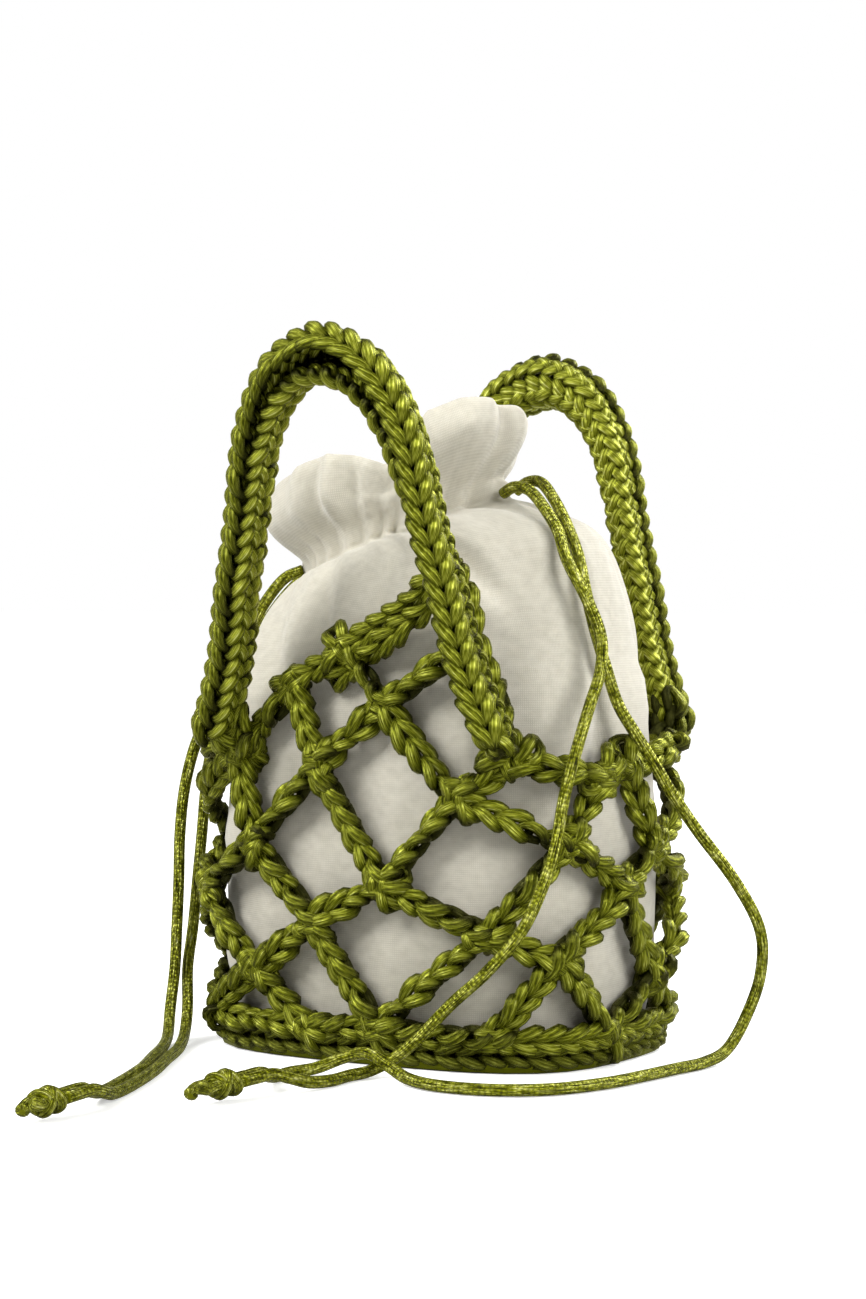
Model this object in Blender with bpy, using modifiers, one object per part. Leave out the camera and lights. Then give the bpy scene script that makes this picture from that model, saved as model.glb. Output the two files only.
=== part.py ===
"""Crocheted net bag with two folded handles, worn round a linen drawstring pouch.

Metres, +Z up. The origin is the middle of the crocheted base, on the surface that the bag stands
on. X runs along the long faces, and the face with the drawstring's big loop looks along -Y.
Each half of the net is the other one turned half a turn round Z.
"""

import math

import bmesh
import bpy
from mathutils import Vector

MM = 0.001

# Cord and crochet
CORD = 4.0 * MM
CHAIN = 8.6 * MM
CLEARANCE = 0.3 * MM

# Net: the middle of its chains, seen from above, is a rounded rectangle
NET_LENGTH = 156.0 * MM
NET_DEPTH = 114.0 * MM
NET_SQUARENESS = 3.2
NET_RIM = 100.0 * MM
BASE_THICKNESS = 5.2 * MM
BASE_EDGE = 2.0 * MM

# Handles: a band folded lengthwise to a U that opens away from the bag
HANDLE_TOP = 241.0 * MM
HANDLE_SPREAD = 110.0 * MM
HANDLE_TO_NET = 2.8 * MM
HANDLE_LEAN = 7.5
BAND_DEPTH = 15.0 * MM
BAND_WALL = 4.0 * MM
FOLD_GAP = 11.0 * MM
FOOT_SEAT = 1.0 * MM

# Pouch
POUCH_WALL = 1.4 * MM
POUCH_TO_NET = 5.8 * MM
NECK_HEIGHT = 178.0 * MM
RUFFLE = 32.0 * MM
NECK_LENGTH = 74.0 * MM
NECK_DEPTH = 44.0 * MM
NECK_SHIFT = -16.0 * MM
PLEATS = 9

# Knots at the cords' ends
KNOT = 11.0 * MM

# How full the net is at each height, as shares of the rim's height and of the net's size
SWELL = (
    # height, girth
    (0.00, 0.930),
    (0.12, 0.955),
    (0.35, 1.000),
    (0.80, 1.000),
    (1.05, 0.980),
    (1.40, 0.900),
    (1.65, 0.820),
)

COLUMNS = 8
# Joints of one half of the net. Columns are counted round from the bag's right end, heights are
# shares of the rim's height.
JOINTS = {
    # name: (column, height)
    "peak": (5.92, 1.365),
    "upper_left": (5.55, 1.260),
    "upper_mid": (6.22, 1.187),
    "foot_right": (7.02, 1.005),
    "rim_front": (7.61, 0.956),
    "rim_side": (7.88, 0.985),
    "rim_corner": (8.68, 1.040),
    "hip_0": (5.16, 1.010),
    "hip_1": (5.77, 0.985),
    "hip_2": (6.69, 0.887),
    "waist_0": (5.30, 0.717),
    "waist_1": (6.22, 0.600),
    "waist_2": (7.34, 0.743),
    "waist_3": (8.14, 0.700),
    "low_0": (4.82, 0.540),
    "low_1": (5.75, 0.464),
    "low_2": (6.87, 0.449),
    "low_3": (7.80, 0.590),
    "hem_0": (5.32, 0.295),
    "hem_2": (7.28, 0.369),
    "hem_3": (8.18, 0.270),
    "ring_0": (4.72, 0.105),
    "ring_1": (5.66, 0.105),
    "ring_mid": (6.17, 0.125),
    "ring_2": (6.90, 0.105),
    "ring_3": (7.72, 0.105),
}
# Joints behind the right leg of the handle: the share of the way from its foot to its top
LEG_JOINTS = {"leg_foot": 0.05, "leg_low": 0.25, "leg_high": 0.44}
NEXT = "+"
# Gaps of one half, each with its joints in order, seen from outside and anticlockwise. A + names
# a joint of the other half.
GAPS = (
    ("hip_1", "upper_mid", "peak", "upper_left"),
    ("upper_mid", "leg_low", "leg_high", "peak"),
    ("hip_2", "foot_right", "leg_foot", "leg_low", "upper_mid"),
    ("waist_0", "hip_1", "upper_left", "hip_0"),
    ("waist_1", "hip_2", "upper_mid", "hip_1"),
    ("waist_2", "rim_front", "foot_right", "hip_2"),
    ("low_3", "waist_3", "rim_side", "rim_front", "waist_2"),
    ("waist_3", "hip_0+", "rim_corner", "rim_side"),
    ("low_0+", "waist_0+", "hip_0+", "waist_3"),
    ("low_1", "waist_1", "hip_1", "waist_0"),
    ("low_2", "waist_2", "hip_2", "waist_1"),
    ("ring_mid", "low_2", "waist_1", "low_1"),
    ("hem_2", "low_3", "waist_2", "low_2"),
    ("hem_3", "low_0+", "waist_3", "low_3"),
    ("hem_0", "low_1", "waist_0", "low_0"),
    ("ring_0+", "hem_0+", "low_0+", "hem_3"),
    ("ring_1", "ring_mid", "low_1", "hem_0"),
    ("ring_2", "hem_2", "low_2", "ring_mid"),
    ("ring_3", "hem_3", "low_3", "hem_2"),
    ("ring_0", "ring_1", "hem_0"),
    ("ring_2", "ring_3", "hem_2"),
    ("ring_3", "ring_0+", "hem_3"),
)
SAG = 1.0 * MM
# A diamond this much wider than a chain becomes a round chain under one subdivision
ROUNDING = 1.34
# The sharpest corner of a gap that is drawn in evenly, and how much of a narrow gap is left
MITRE = 0.45
NARROWEST = 0.72

# The arch of a handle, from its foot to its top, as shares of its rise and of half its spread
ARCH = (
    # rise, spread
    (0.00, 1.00),
    (0.12, 0.89),
    (0.24, 0.81),
    (0.37, 0.75),
    (0.49, 0.68),
    (0.62, 0.61),
    (0.76, 0.53),
    (0.87, 0.42),
    (0.96, 0.25),
    (1.00, 0.00),
)
# How far the fold stands open along the band, from its left foot to its right one
FOLD = (
    # way along, share of the gap
    (0.00, 0.40),
    (0.25, 0.30),
    (0.40, 0.60),
    (0.50, 1.00),
    (0.60, 0.60),
    (0.75, 0.10),
    (1.00, 0.12),
)
HANDLES = {
    # name: (half, sideways, share of the spread, share of the lean, height of the left foot)
    "handle_front": (0, 3.0 * MM, 1.00, 1.00, 0.045),
    "handle_back": (1, -1.0 * MM, 1.05, 0.62, 0.045),
}
STATIONS = 28
BEND = 0.9 * MM

# Rings of the pouch, from the middle of its bottom to its neck
POUCH = (
    # height as a share of the neck's, length, depth, squareness, share of the shift, tilt, pleat
    (0.000, 0.35, 0.35, 2.4, 0.0, 0.00, 0.000),
    (0.000, 0.86, 0.86, 3.0, 0.0, 0.00, 0.000),
    (0.040, 0.95, 0.95, 3.2, 0.0, 0.00, 0.000),
    (0.160, 0.99, 0.99, 3.2, 0.0, 0.00, 0.000),
    (0.420, 1.00, 1.00, 3.2, 0.0, 0.00, 0.000),
    (0.580, 0.98, 0.97, 3.1, 0.0, 0.00, 0.000),
    (0.740, 0.93, 0.89, 3.0, -0.1, 0.04, 0.008),
    (0.850, 0.87, 0.81, 2.8, -0.1, 0.10, 0.016),
    (0.925, 0.75, 0.70, 2.5, 0.0, 0.18, 0.035),
    (0.975, 0.61, 0.58, 2.2, 0.5, 0.28, 0.065),
)
# Rings of the ruffle above the neck
COLLAR = (
    # way up the ruffle, size as a share of the neck's, tilt, pleat
    (0.00, 1.00, 0.36, 0.090),
    (0.25, 1.03, 0.36, 0.100),
    (0.60, 1.22, 0.33, 0.085),
    (1.00, 1.32, 0.30, 0.085),
)
POUCH_SIDES = 45

# Places that the drawstrings pass, in millimetres. Each starts at the pouch's neck.
ROUTES = {
    "drawstring_right_front": (
        (27.6, -4, 189), (33, -6, 191), (39.5, -8, 190), (47, -12, 185), (56, -17, 176),
        (63, -23, 166), (70, -22, 153), (74, -20, 141), (76, -24, 130), (76.5, -32, 119),
        (77, -41, 106), (75.5, -47, 90), (74, -50, 74), (71, -53.5, 61), (66, -57.5, 48),
        (56, -62, 35), (44, -64.5, 24), (33.5, -66.5, 13), (26, -69.5, 6.2), (20.8, -76, 2.5),
        (19.4, -86, 2.2), (20, -97, 2.2), (18.2, -106.5, 2.8), (15.6, -113, 4.8),
        (13.4, -119.1, 6.6), (12.1, -126, 6.4), (11, -131.9, 6),
    ),
    "drawstring_right_loop": (
        (27.8, 4, 190), (33, 3.5, 193), (39.5, 1, 192.5), (47, -4, 187), (54.5, -8.5, 178.5),
        (61.5, -13, 168), (66.5, -16.5, 155.5), (69.5, -15.5, 142.5), (72.5, -13.5, 130.5),
        (76.5, -13, 119), (81, -9, 109), (86, -5, 99), (89.5, -0.5, 90), (96, 6, 77),
        (106, 14, 60), (112, 20, 44), (111, 22.5, 29), (107, 20, 15), (104.5, 11, 5),
        (103, -2, 2.3), (101, -18, 2.2), (99, -36, 2.2), (95.5, -56, 2.2), (87, -75, 2.2),
        (72, -86, 2.2), (54, -88, 2.2), (40, -83.5, 2.6), (30, -79.5, 5.3), (20.5, -76.8, 8.2),
        (11.5, -76.3, 6.2), (3.6, -81, 2.7), (0, -90, 2.2), (0.5, -99, 2.2), (3.4, -107, 3.4),
        (6.4, -113.5, 5.4), (8, -119, 6.6), (7.6, -125.1, 6.4), (6.5, -131.05, 6),
    ),
    "drawstring_left_front": (
        (-55, -3.5, 163.5), (-61.5, -5.5, 160.5), (-67, -9.5, 152), (-71, -15, 140), (-75.5, -20, 127),
        (-81, -23, 114), (-86.5, -25, 101), (-89.5, -27, 86), (-90, -29, 70), (-89, -31, 54),
        (-88, -33.5, 38), (-87, -36, 24), (-84.5, -42, 11), (-78, -52, 3.6), (-68, -68, 2.2),
        (-57, -88, 2.2), (-45, -110, 2.2), (-34, -135, 2.2), (-27, -153, 2.4),
        (-22.3, -164.5, 4.6), (-20, -171.5, 6.6), (-20, -178.5, 6.4), (-20.1, -184.5, 6),
    ),
    "drawstring_left_back": (
        (-54, 4, 163), (-61, 4, 160), (-68, 1, 152), (-74, -3, 141), (-79, -7, 128),
        (-84, -10, 115), (-88, -12.5, 101), (-89, -15, 86), (-88.5, -18, 70), (-87.5, -22, 54),
        (-86.5, -26, 38), (-85.5, -30.5, 24), (-80, -38, 11.5), (-73, -49, 4.4), (-62, -67, 2.2),
        (-51, -88, 2.2), (-39.5, -110, 2.2), (-28.6, -135, 2.2), (-21.4, -154, 2.6),
        (-16.7, -165, 4.8), (-15.4, -171.6, 6.6), (-15.4, -178.5, 6.4), (-15.5, -184.5, 6),
    ),
}
CORD_STEP = 12.0 * MM
# Each knot: the middle of its face towards the cords, and where its tail points
KNOTS = {
    # name: (face, tail's end), in millimetres
    "knot_right": ((8.7, -131.8, 6.0), (5.0, -152.0, 4.8)),
    "knot_left": ((-17.8, -184.8, 6.0), (-18.0, -206.0, 4.8)),
}
# A knot's half profile from its face to its tail's end
KNOT_PROFILE = (
    # way along, radius as a share of the knot's
    (0.00, 0.78),
    (0.12, 0.95),
    (0.28, 1.00),
    (0.44, 0.88),
    (0.52, 0.50),
    (0.60, 0.38),
    (0.80, 0.40),
    (0.92, 0.48),
    (1.00, 0.30),
)


def clear_scene():
    """Removes what the scene holds."""
    for thing in list(bpy.data.objects):
        bpy.data.objects.remove(thing)


def new_collection(name):
    collection = bpy.data.collections.new(name)
    bpy.context.scene.collection.children.link(collection)
    return collection


def new_material(name, colour, roughness):
    """A plain finish: colour, roughness, no metal."""
    material = bpy.data.materials.new(name)
    material.use_nodes = True
    shader = material.node_tree.nodes["Principled BSDF"]
    shader.inputs["Base Color"].default_value = (*colour, 1.0)
    shader.inputs["Roughness"].default_value = roughness
    shader.inputs["Metallic"].default_value = 0.0
    material.diffuse_color = (*colour, 1.0)
    return material


def table(rows, at, column=1):
    """Reads a table's column between its rows, whose first column rises."""
    if at <= rows[0][0]:
        return rows[0][column]
    for low, high in zip(rows, rows[1:]):
        if at <= high[0]:
            part = (at - low[0]) / (high[0] - low[0])
            return low[column] + part * (high[column] - low[column])
    return rows[-1][column]


def oval_point(length, depth, squareness, angle):
    """A point of a rounded rectangle, which a squareness of 2 makes an ellipse."""
    cosine = math.cos(angle)
    sine = math.sin(angle)
    power = 2.0 / squareness
    return Vector((
        0.5 * length * math.copysign(abs(cosine) ** power, cosine),
        0.5 * depth * math.copysign(abs(sine) ** power, sine),
    ))


def even_oval(length, depth, squareness, count, fine=1440):
    """Points evenly spaced along a rounded rectangle, from its +X end and anticlockwise."""
    outline = [
        oval_point(length, depth, squareness, math.tau * step / fine) for step in range(fine + 1)
    ]
    return along(outline, count + 1)[:-1]


def along(points, count):
    """The same line with its points evenly spaced."""
    run = [0.0]
    for start, end in zip(points, points[1:]):
        run.append(run[-1] + (end - start).length)
    spaced = []
    place = 0
    for step in range(count):
        target = run[-1] * step / (count - 1)
        while place < len(points) - 2 and run[place + 1] < target:
            place += 1
        reach = max(run[place + 1] - run[place], 1e-12)
        part = min(1.0, (target - run[place]) / reach)
        spaced.append(points[place].lerp(points[place + 1], part))
    return spaced


def smooth_line(points, fine=12):
    """A smooth curve through the points, ready to be spaced evenly."""
    first = points[0] * 2.0 - points[1]
    last = points[-1] * 2.0 - points[-2]
    padded = [first, *points, last]
    line = []
    for before, start, end, after in zip(padded, padded[1:], padded[2:], padded[3:]):
        for step in range(fine):
            t = step / fine
            line.append(0.5 * (
                start * 2.0
                + (end - before) * t
                + (before * 2.0 - start * 5.0 + end * 4.0 - after) * t ** 2
                + (start * 3.0 - before - end * 3.0 + after) * t ** 3
            ))
    line.append(points[-1].copy())
    return line


def line_length(points):
    return sum((end - start).length for start, end in zip(points, points[1:]))


def half_turn(point, half):
    """The same place on the other half of the bag."""
    return Vector((-point.x, -point.y, point.z)) if half % 2 else point


NET_OUTLINE = even_oval(NET_LENGTH, NET_DEPTH, NET_SQUARENESS, 720)


def net_point(column, height):
    """A point on the net's middle surface. The height is a share of the rim's."""
    place = (column / COLUMNS % 1.0) * len(NET_OUTLINE)
    before = int(place) % len(NET_OUTLINE)
    after = (before + 1) % len(NET_OUTLINE)
    flat = NET_OUTLINE[before].lerp(NET_OUTLINE[after], place - int(place))
    flat = flat * table(SWELL, height)
    return Vector((flat.x, flat.y, height * NET_RIM))


def foot_height():
    """How high the handles' feet are: on top of the joint of the net that carries them."""
    return JOINTS["foot_right"][1] * NET_RIM + 0.5 * CHAIN + FOOT_SEAT + 0.18 * BAND_DEPTH


def handle_point(name, rise, side):
    """The middle of a handle's band at a share of its rise, on its left (-1) or right (1) leg."""
    half, sideways, spread, lean, _ = HANDLES[name]
    foot = foot_height()
    band = BAND_WALL * 2.0 + FOLD_GAP
    height = rise * (HANDLE_TOP - 0.5 * band - foot)
    x = sideways + side * 0.5 * HANDLE_SPREAD * spread * table(ARCH, rise)
    stand_off = 0.5 * NET_DEPTH + HANDLE_TO_NET
    y = -stand_off - height * math.tan(math.radians(HANDLE_LEAN * lean))
    return half_turn(Vector((x, y, foot + height)), half)


def handle_inward(name):
    """The way from a handle's open edge to its fold: towards the bag, square to the arch."""
    half, _, _, lean, _ = HANDLES[name]
    slope = math.radians(HANDLE_LEAN * lean)
    return half_turn(Vector((0.0, math.cos(slope), math.sin(slope))), half)


def net_joint(name, half):
    """Where a joint of the net lies."""
    if name.endswith(NEXT):
        return net_joint(name[:-1], half + 1)
    if name in LEG_JOINTS:
        return leg_joint(LEG_JOINTS[name], half)
    column, height = JOINTS[name]
    return half_turn(net_point(column, height), half)


def leg_joint(rise, half):
    """A point of the chain that the right leg is sewn to, just behind its fold."""
    handle = list(HANDLES)[half % 2]
    behind = 0.5 * BAND_DEPTH + 0.5 * CHAIN + CLEARANCE
    nudge = half_turn(Vector((-0.3 * CHAIN, 0.0, 0.0)), half)
    return handle_point(handle, rise, 1) + handle_inward(handle) * behind + nudge


def joint_key(name, half):
    if name.endswith(NEXT):
        return joint_key(name[:-1], half + 1)
    return name, half % 2


def between(first, second):
    """Points between two joints, so that the chain keeps to the net's surface."""
    names = (first[0], second[0])
    if all(name in LEG_JOINTS for name in names):
        rise = 0.5 * sum(LEG_JOINTS[name] for name in names)
        return [leg_joint(rise, first[1])]
    if any(name in LEG_JOINTS for name in names):
        return []
    place = {}
    for name, half in (first, second):
        column, height = JOINTS[name]
        place[name, half] = (column + half * COLUMNS / 2, height)
    start = place[first]
    end = place[second]
    turn = end[0] - start[0]
    turn -= COLUMNS * round(turn / COLUMNS)
    middle = net_point(start[0] + 0.5 * turn, 0.5 * (start[1] + end[1]))
    chord = (net_point(*start) + net_point(*end)) * 0.5
    if (middle - chord).length < SAG:
        return []
    if (middle - chord).length < 3.0 * SAG:
        return [middle]
    return [
        net_point(start[0] + part * turn, start[1] + part * (end[1] - start[1]))
        for part in (1 / 3, 2 / 3)
    ]


def net_cage():
    """The net's middle surface: one face for each gap, with its edges along the chains."""
    cage = bmesh.new()
    corners = {}
    sides = {}

    def corner(key):
        if key not in corners:
            corners[key] = cage.verts.new(net_joint(*key))
        return corners[key]

    def side(first, second):
        if (first, second) not in sides:
            middles = [cage.verts.new(point) for point in between(first, second)]
            sides[first, second] = middles
            sides[second, first] = middles[::-1]
        return sides[first, second]

    for half in (0, 1):
        for gap in GAPS:
            keys = [joint_key(name, half) for name in gap]
            loop = []
            for first, second in zip(keys, keys[1:] + keys[:1]):
                loop.append(corner(first))
                loop.extend(side(first, second))
            cage.faces.new(loop)
    cage.normal_update()
    return cage


def open_edges(cage):
    """The rim and the ring, each as a loop of corners with the net on its right."""
    following = {}
    for edge in cage.edges:
        if edge.is_boundary:
            corner = edge.link_loops[0]
            following[corner.link_loop_next.vert] = corner.vert
    loops = []
    while following:
        start = next(iter(following))
        loop = [start]
        while following[loop[-1]] is not start:
            loop.append(following[loop[-1]])
        for corner in loop:
            del following[corner]
        loops.append(loop)
    return loops


def drawn_in(loop, inset):
    """A loop of corners moved into its gap by half a chain's width."""
    middle = sum((corner.co for corner in loop), Vector()) / len(loop)
    moved = []
    for place, corner in enumerate(loop):
        into = (corner.co - loop[place - 1].co).normalized()
        out_of = (loop[(place + 1) % len(loop)].co - corner.co).normalized()
        first = corner.normal.cross(into).normalized()
        second = corner.normal.cross(out_of).normalized()
        reach = (first + second) / max(1.0 + first.dot(second), MITRE)
        longest = NARROWEST * (middle - corner.co).length / inset
        if reach.length > longest:
            reach *= longest / reach.length
        moved.append(corner.co + reach * inset)
    return moved


def make_net(collection, material):
    """Chains of diamond section along the cage's edges, rounded by one subdivision."""
    cage = net_cage()
    half = 0.5 * ROUNDING * CHAIN
    shape = bmesh.new()
    outer = {corner: shape.verts.new(corner.co + corner.normal * half) for corner in cage.verts}
    inner = {corner: shape.verts.new(corner.co - corner.normal * half) for corner in cage.verts}
    for loop in [list(face.verts) for face in cage.faces] + open_edges(cage):
        edge = [shape.verts.new(point) for point in drawn_in(loop, half)]
        for place, corner in enumerate(loop):
            beside = (place + 1) % len(loop)
            other = loop[beside]
            shape.faces.new((outer[corner], outer[other], edge[beside], edge[place]))
            shape.faces.new((inner[other], inner[corner], edge[place], edge[beside]))
    cage.free()
    net = add_mesh("net_body", shape, collection, material)
    rounding = net.modifiers.new("rounding", "SUBSURF")
    rounding.levels = 1
    rounding.render_levels = 1
    return net


def add_mesh(name, shape, collection, material, smooth=True):
    """Turns the built shape into an object of the bag."""
    mesh = bpy.data.meshes.new(name)
    shape.to_mesh(mesh)
    shape.free()
    mesh.materials.append(material)
    if smooth:
        mesh.shade_smooth()
    part = bpy.data.objects.new(name, mesh)
    collection.objects.link(part)
    return part


def make_base(collection, material):
    """The flat crocheted oval that the net grows from."""
    girth = table(SWELL, 0.0) + 0.02
    outline = even_oval(NET_LENGTH * girth, NET_DEPTH * girth, NET_SQUARENESS, 40)
    shape = bmesh.new()
    face = shape.faces.new([shape.verts.new((spot.x, spot.y, 0.0)) for spot in outline])
    grown = bmesh.ops.extrude_face_region(shape, geom=[face])["geom"]
    raised = [item for item in grown if isinstance(item, bmesh.types.BMVert)]
    bmesh.ops.translate(shape, verts=raised, vec=(0.0, 0.0, BASE_THICKNESS))
    bmesh.ops.recalc_face_normals(shape, faces=shape.faces)
    rim = [edge for edge in shape.edges if edge.calc_face_angle(0.0) > 1.0]
    bmesh.ops.bevel(shape, geom=rim, offset=BASE_EDGE, segments=2, profile=0.5, affect="EDGES")
    return add_mesh("net_base", shape, collection, material)


def band_section(gap):
    """The folded band's section, across the arch and towards the bag. It opens at the back."""
    half = BAND_WALL + 0.5 * gap
    inner = 0.5 * gap
    front = 0.5 * BAND_DEPTH
    bend = min(BEND, 0.4 * BAND_WALL)
    fold = front - BAND_WALL
    lip = -front + bend
    return (
        (half, lip), (half, front - 2 * bend), (half - 2 * bend, front),
        (-half + 2 * bend, front), (-half, front - 2 * bend), (-half, lip),
        (-half + bend, -front), (-inner - bend, -front), (-inner, lip),
        (-inner, fold), (inner, fold), (inner, lip), (inner + bend, -front), (half - bend, -front),
    )


def make_handle(name, collection, material):
    """A crocheted band, folded lengthwise and bent to an arch that leans away from the bag."""
    left_foot = HANDLES[name][4]
    left = [handle_point(name, max(row[0], left_foot), -1) for row in ARCH]
    right = [handle_point(name, row[0], 1) for row in ARCH[:-1]]
    path = along(smooth_line(left + right[::-1]), STATIONS)
    inward = handle_inward(name)
    shape = bmesh.new()
    rings = []
    for step, middle in enumerate(path):
        before = path[max(step - 1, 0)]
        after = path[min(step + 1, len(path) - 1)]
        way = (after - before).normalized()
        outward = inward.cross(way).normalized()
        gap = FOLD_GAP * table(FOLD, step / (STATIONS - 1))
        rings.append([
            shape.verts.new(middle + outward * across + inward * deep)
            for across, deep in band_section(gap)
        ])
    for ring, following in zip(rings, rings[1:]):
        count = len(ring)
        for place in range(count):
            beside = (place + 1) % count
            shape.faces.new((ring[place], ring[beside], following[beside], following[place]))
    shape.faces.new(rings[0][::-1])
    shape.faces.new(rings[-1])
    bmesh.ops.recalc_face_normals(shape, faces=shape.faces)
    return add_mesh(name, shape, collection, material)


def pouch_rings():
    """The rings of the pouch: height, length, depth, squareness, shift, tilt and pleat."""
    length = NET_LENGTH - 2.0 * POUCH_TO_NET
    depth = NET_DEPTH - 2.0 * POUCH_TO_NET
    bottom = BASE_THICKNESS + CLEARANCE
    rise = NECK_HEIGHT - bottom
    rings = []
    for height, size, size_deep, squareness, shift, tilt, pleat in POUCH:
        rings.append((
            bottom + height * rise, length * size, depth * size_deep, squareness,
            NECK_SHIFT * shift, tilt, pleat,
        ))
    for way, size, tilt, pleat in COLLAR:
        rings.append((
            NECK_HEIGHT + way * RUFFLE, NECK_LENGTH * size, NECK_DEPTH * size, 2.0,
            NECK_SHIFT, tilt, pleat,
        ))
    return rings


def make_pouch(collection, material):
    """A linen bag, gathered at a tilted neck below a ruffle, and open at the top."""
    shape = bmesh.new()
    rings = []
    for height, length, depth, squareness, shift, tilt, pleat in pouch_rings():
        ring = []
        outline = even_oval(length, depth, squareness, POUCH_SIDES)
        for step, spot in enumerate(outline):
            turn = math.tau * step / POUCH_SIDES
            wave = math.cos(PLEATS * turn) + 0.4 * math.cos((PLEATS - 4) * turn + 1.0)
            flat = spot * (1.0 + pleat * wave)
            x = flat.x + shift
            ring.append(shape.verts.new((x, flat.y, height + tilt * x)))
        rings.append(ring)
    for ring, following in zip(rings, rings[1:]):
        for place in range(POUCH_SIDES):
            beside = (place + 1) % POUCH_SIDES
            shape.faces.new((ring[place], ring[beside], following[beside], following[place]))
    shape.faces.new(rings[0][::-1])
    pouch = add_mesh("pouch", shape, collection, material)
    cloth = pouch.modifiers.new("cloth", "SOLIDIFY")
    cloth.thickness = POUCH_WALL
    cloth.offset = -1.0
    cloth.use_even_offset = True
    return pouch


def make_cord(name, collection, material):
    """A length of round satin cord, as it hangs and lies."""
    route = smooth_line([Vector(spot) * MM for spot in ROUTES[name]])
    points = along(route, max(2, round(line_length(route) / CORD_STEP)))
    curve = bpy.data.curves.new(name, "CURVE")
    curve.dimensions = "3D"
    curve.bevel_depth = 0.5 * CORD
    curve.bevel_resolution = 2
    curve.use_fill_caps = True
    spline = curve.splines.new("POLY")
    spline.points.add(len(points) - 1)
    for spot, point in zip(spline.points, points):
        spot.co = (*point, 1.0)
    curve.materials.append(material)
    cord = bpy.data.objects.new(name, curve)
    collection.objects.link(cord)
    return cord


def make_knot(name, collection, material):
    """The knot that joins two cords, with its short tail: a turned solid along the cords."""
    face, end = (Vector(spot) * MM for spot in KNOTS[name])
    reach = end - face
    rows = [(way * reach.length, 0.5 * KNOT * radius) for way, radius in KNOT_PROFILE]
    shape = bmesh.new()
    sides = 10
    rings = []
    for place, radius in rows:
        rings.append([
            shape.verts.new((
                radius * math.cos(math.tau * step / sides),
                radius * math.sin(math.tau * step / sides),
                place,
            ))
            for step in range(sides)
        ])
    for ring, following in zip(rings, rings[1:]):
        for place in range(sides):
            beside = (place + 1) % sides
            shape.faces.new((ring[place], ring[beside], following[beside], following[place]))
    shape.faces.new(rings[0][::-1])
    shape.faces.new(rings[-1])
    knot = add_mesh(name, shape, collection, material)
    knot.location = face
    knot.rotation_mode = "QUATERNION"
    knot.rotation_quaternion = reach.to_track_quat("Z", "Y")
    return knot


def main():
    clear_scene()
    bag = new_collection("mesh_bag")
    green = (0.23, 0.27, 0.03)
    cream = (0.84, 0.82, 0.77)
    make_base(bag, new_material("base_crochet", green, 0.45))
    make_net(bag, new_material("net_crochet", green, 0.42))
    for name in HANDLES:
        make_handle(name, bag, new_material(f"{name}_crochet", green, 0.42))
    make_pouch(bag, new_material("pouch_linen", cream, 0.9))
    for name in ROUTES:
        make_cord(name, bag, new_material(f"{name}_satin", green, 0.35))
    for name in KNOTS:
        make_knot(name, bag, new_material(f"{name}_satin", green, 0.35))


main()
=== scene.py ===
import math
import random

import bmesh
import bpy
from mathutils import Matrix, Vector, kdtree, noise


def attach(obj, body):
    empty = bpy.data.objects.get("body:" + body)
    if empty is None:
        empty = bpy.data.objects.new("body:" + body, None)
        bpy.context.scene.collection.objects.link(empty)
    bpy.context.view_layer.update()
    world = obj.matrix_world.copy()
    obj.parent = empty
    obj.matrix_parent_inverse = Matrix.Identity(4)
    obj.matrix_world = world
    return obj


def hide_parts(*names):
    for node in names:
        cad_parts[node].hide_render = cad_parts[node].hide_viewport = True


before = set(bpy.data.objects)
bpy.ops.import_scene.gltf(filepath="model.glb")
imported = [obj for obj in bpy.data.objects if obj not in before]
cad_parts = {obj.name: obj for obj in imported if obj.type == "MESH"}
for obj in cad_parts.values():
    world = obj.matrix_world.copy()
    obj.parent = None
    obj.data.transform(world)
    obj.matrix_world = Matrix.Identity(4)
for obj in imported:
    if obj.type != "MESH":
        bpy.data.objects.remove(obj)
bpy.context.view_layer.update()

# The camera stands in front of the bag and to its right, at the height of its shoulders, and
# looks down by a degree. The frame is the photograph's, 866 by 1299 pixels.
FRAME_HEIGHT = 1299.0  # pixels, as the next two are
FOCAL = 2990.0
LOOKED_DOWN = 49.5
azimuth = math.radians(32.0)
ahead = Vector((-math.sin(azimuth), math.cos(azimuth), 0.0))
right = Vector((math.cos(azimuth), math.sin(azimuth), 0.0))
drop = math.atan(LOOKED_DOWN / FOCAL)
camera = bpy.data.objects.new("camera", bpy.data.cameras.new("camera"))
camera.data.sensor_width = 36.0
camera.data.lens = camera.data.sensor_width * FOCAL / FRAME_HEIGHT
camera.data.clip_start = 0.05
camera.location = -1.029 * ahead - 0.0025 * right + Vector((0.0, 0.0, 0.153))
looking = math.cos(drop) * ahead - Vector((0.0, 0.0, math.sin(drop)))
camera.rotation_euler = looking.to_track_quat("-Z", "Y").to_euler()
bpy.context.scene.collection.objects.link(camera)
bpy.context.scene.camera = camera

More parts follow.
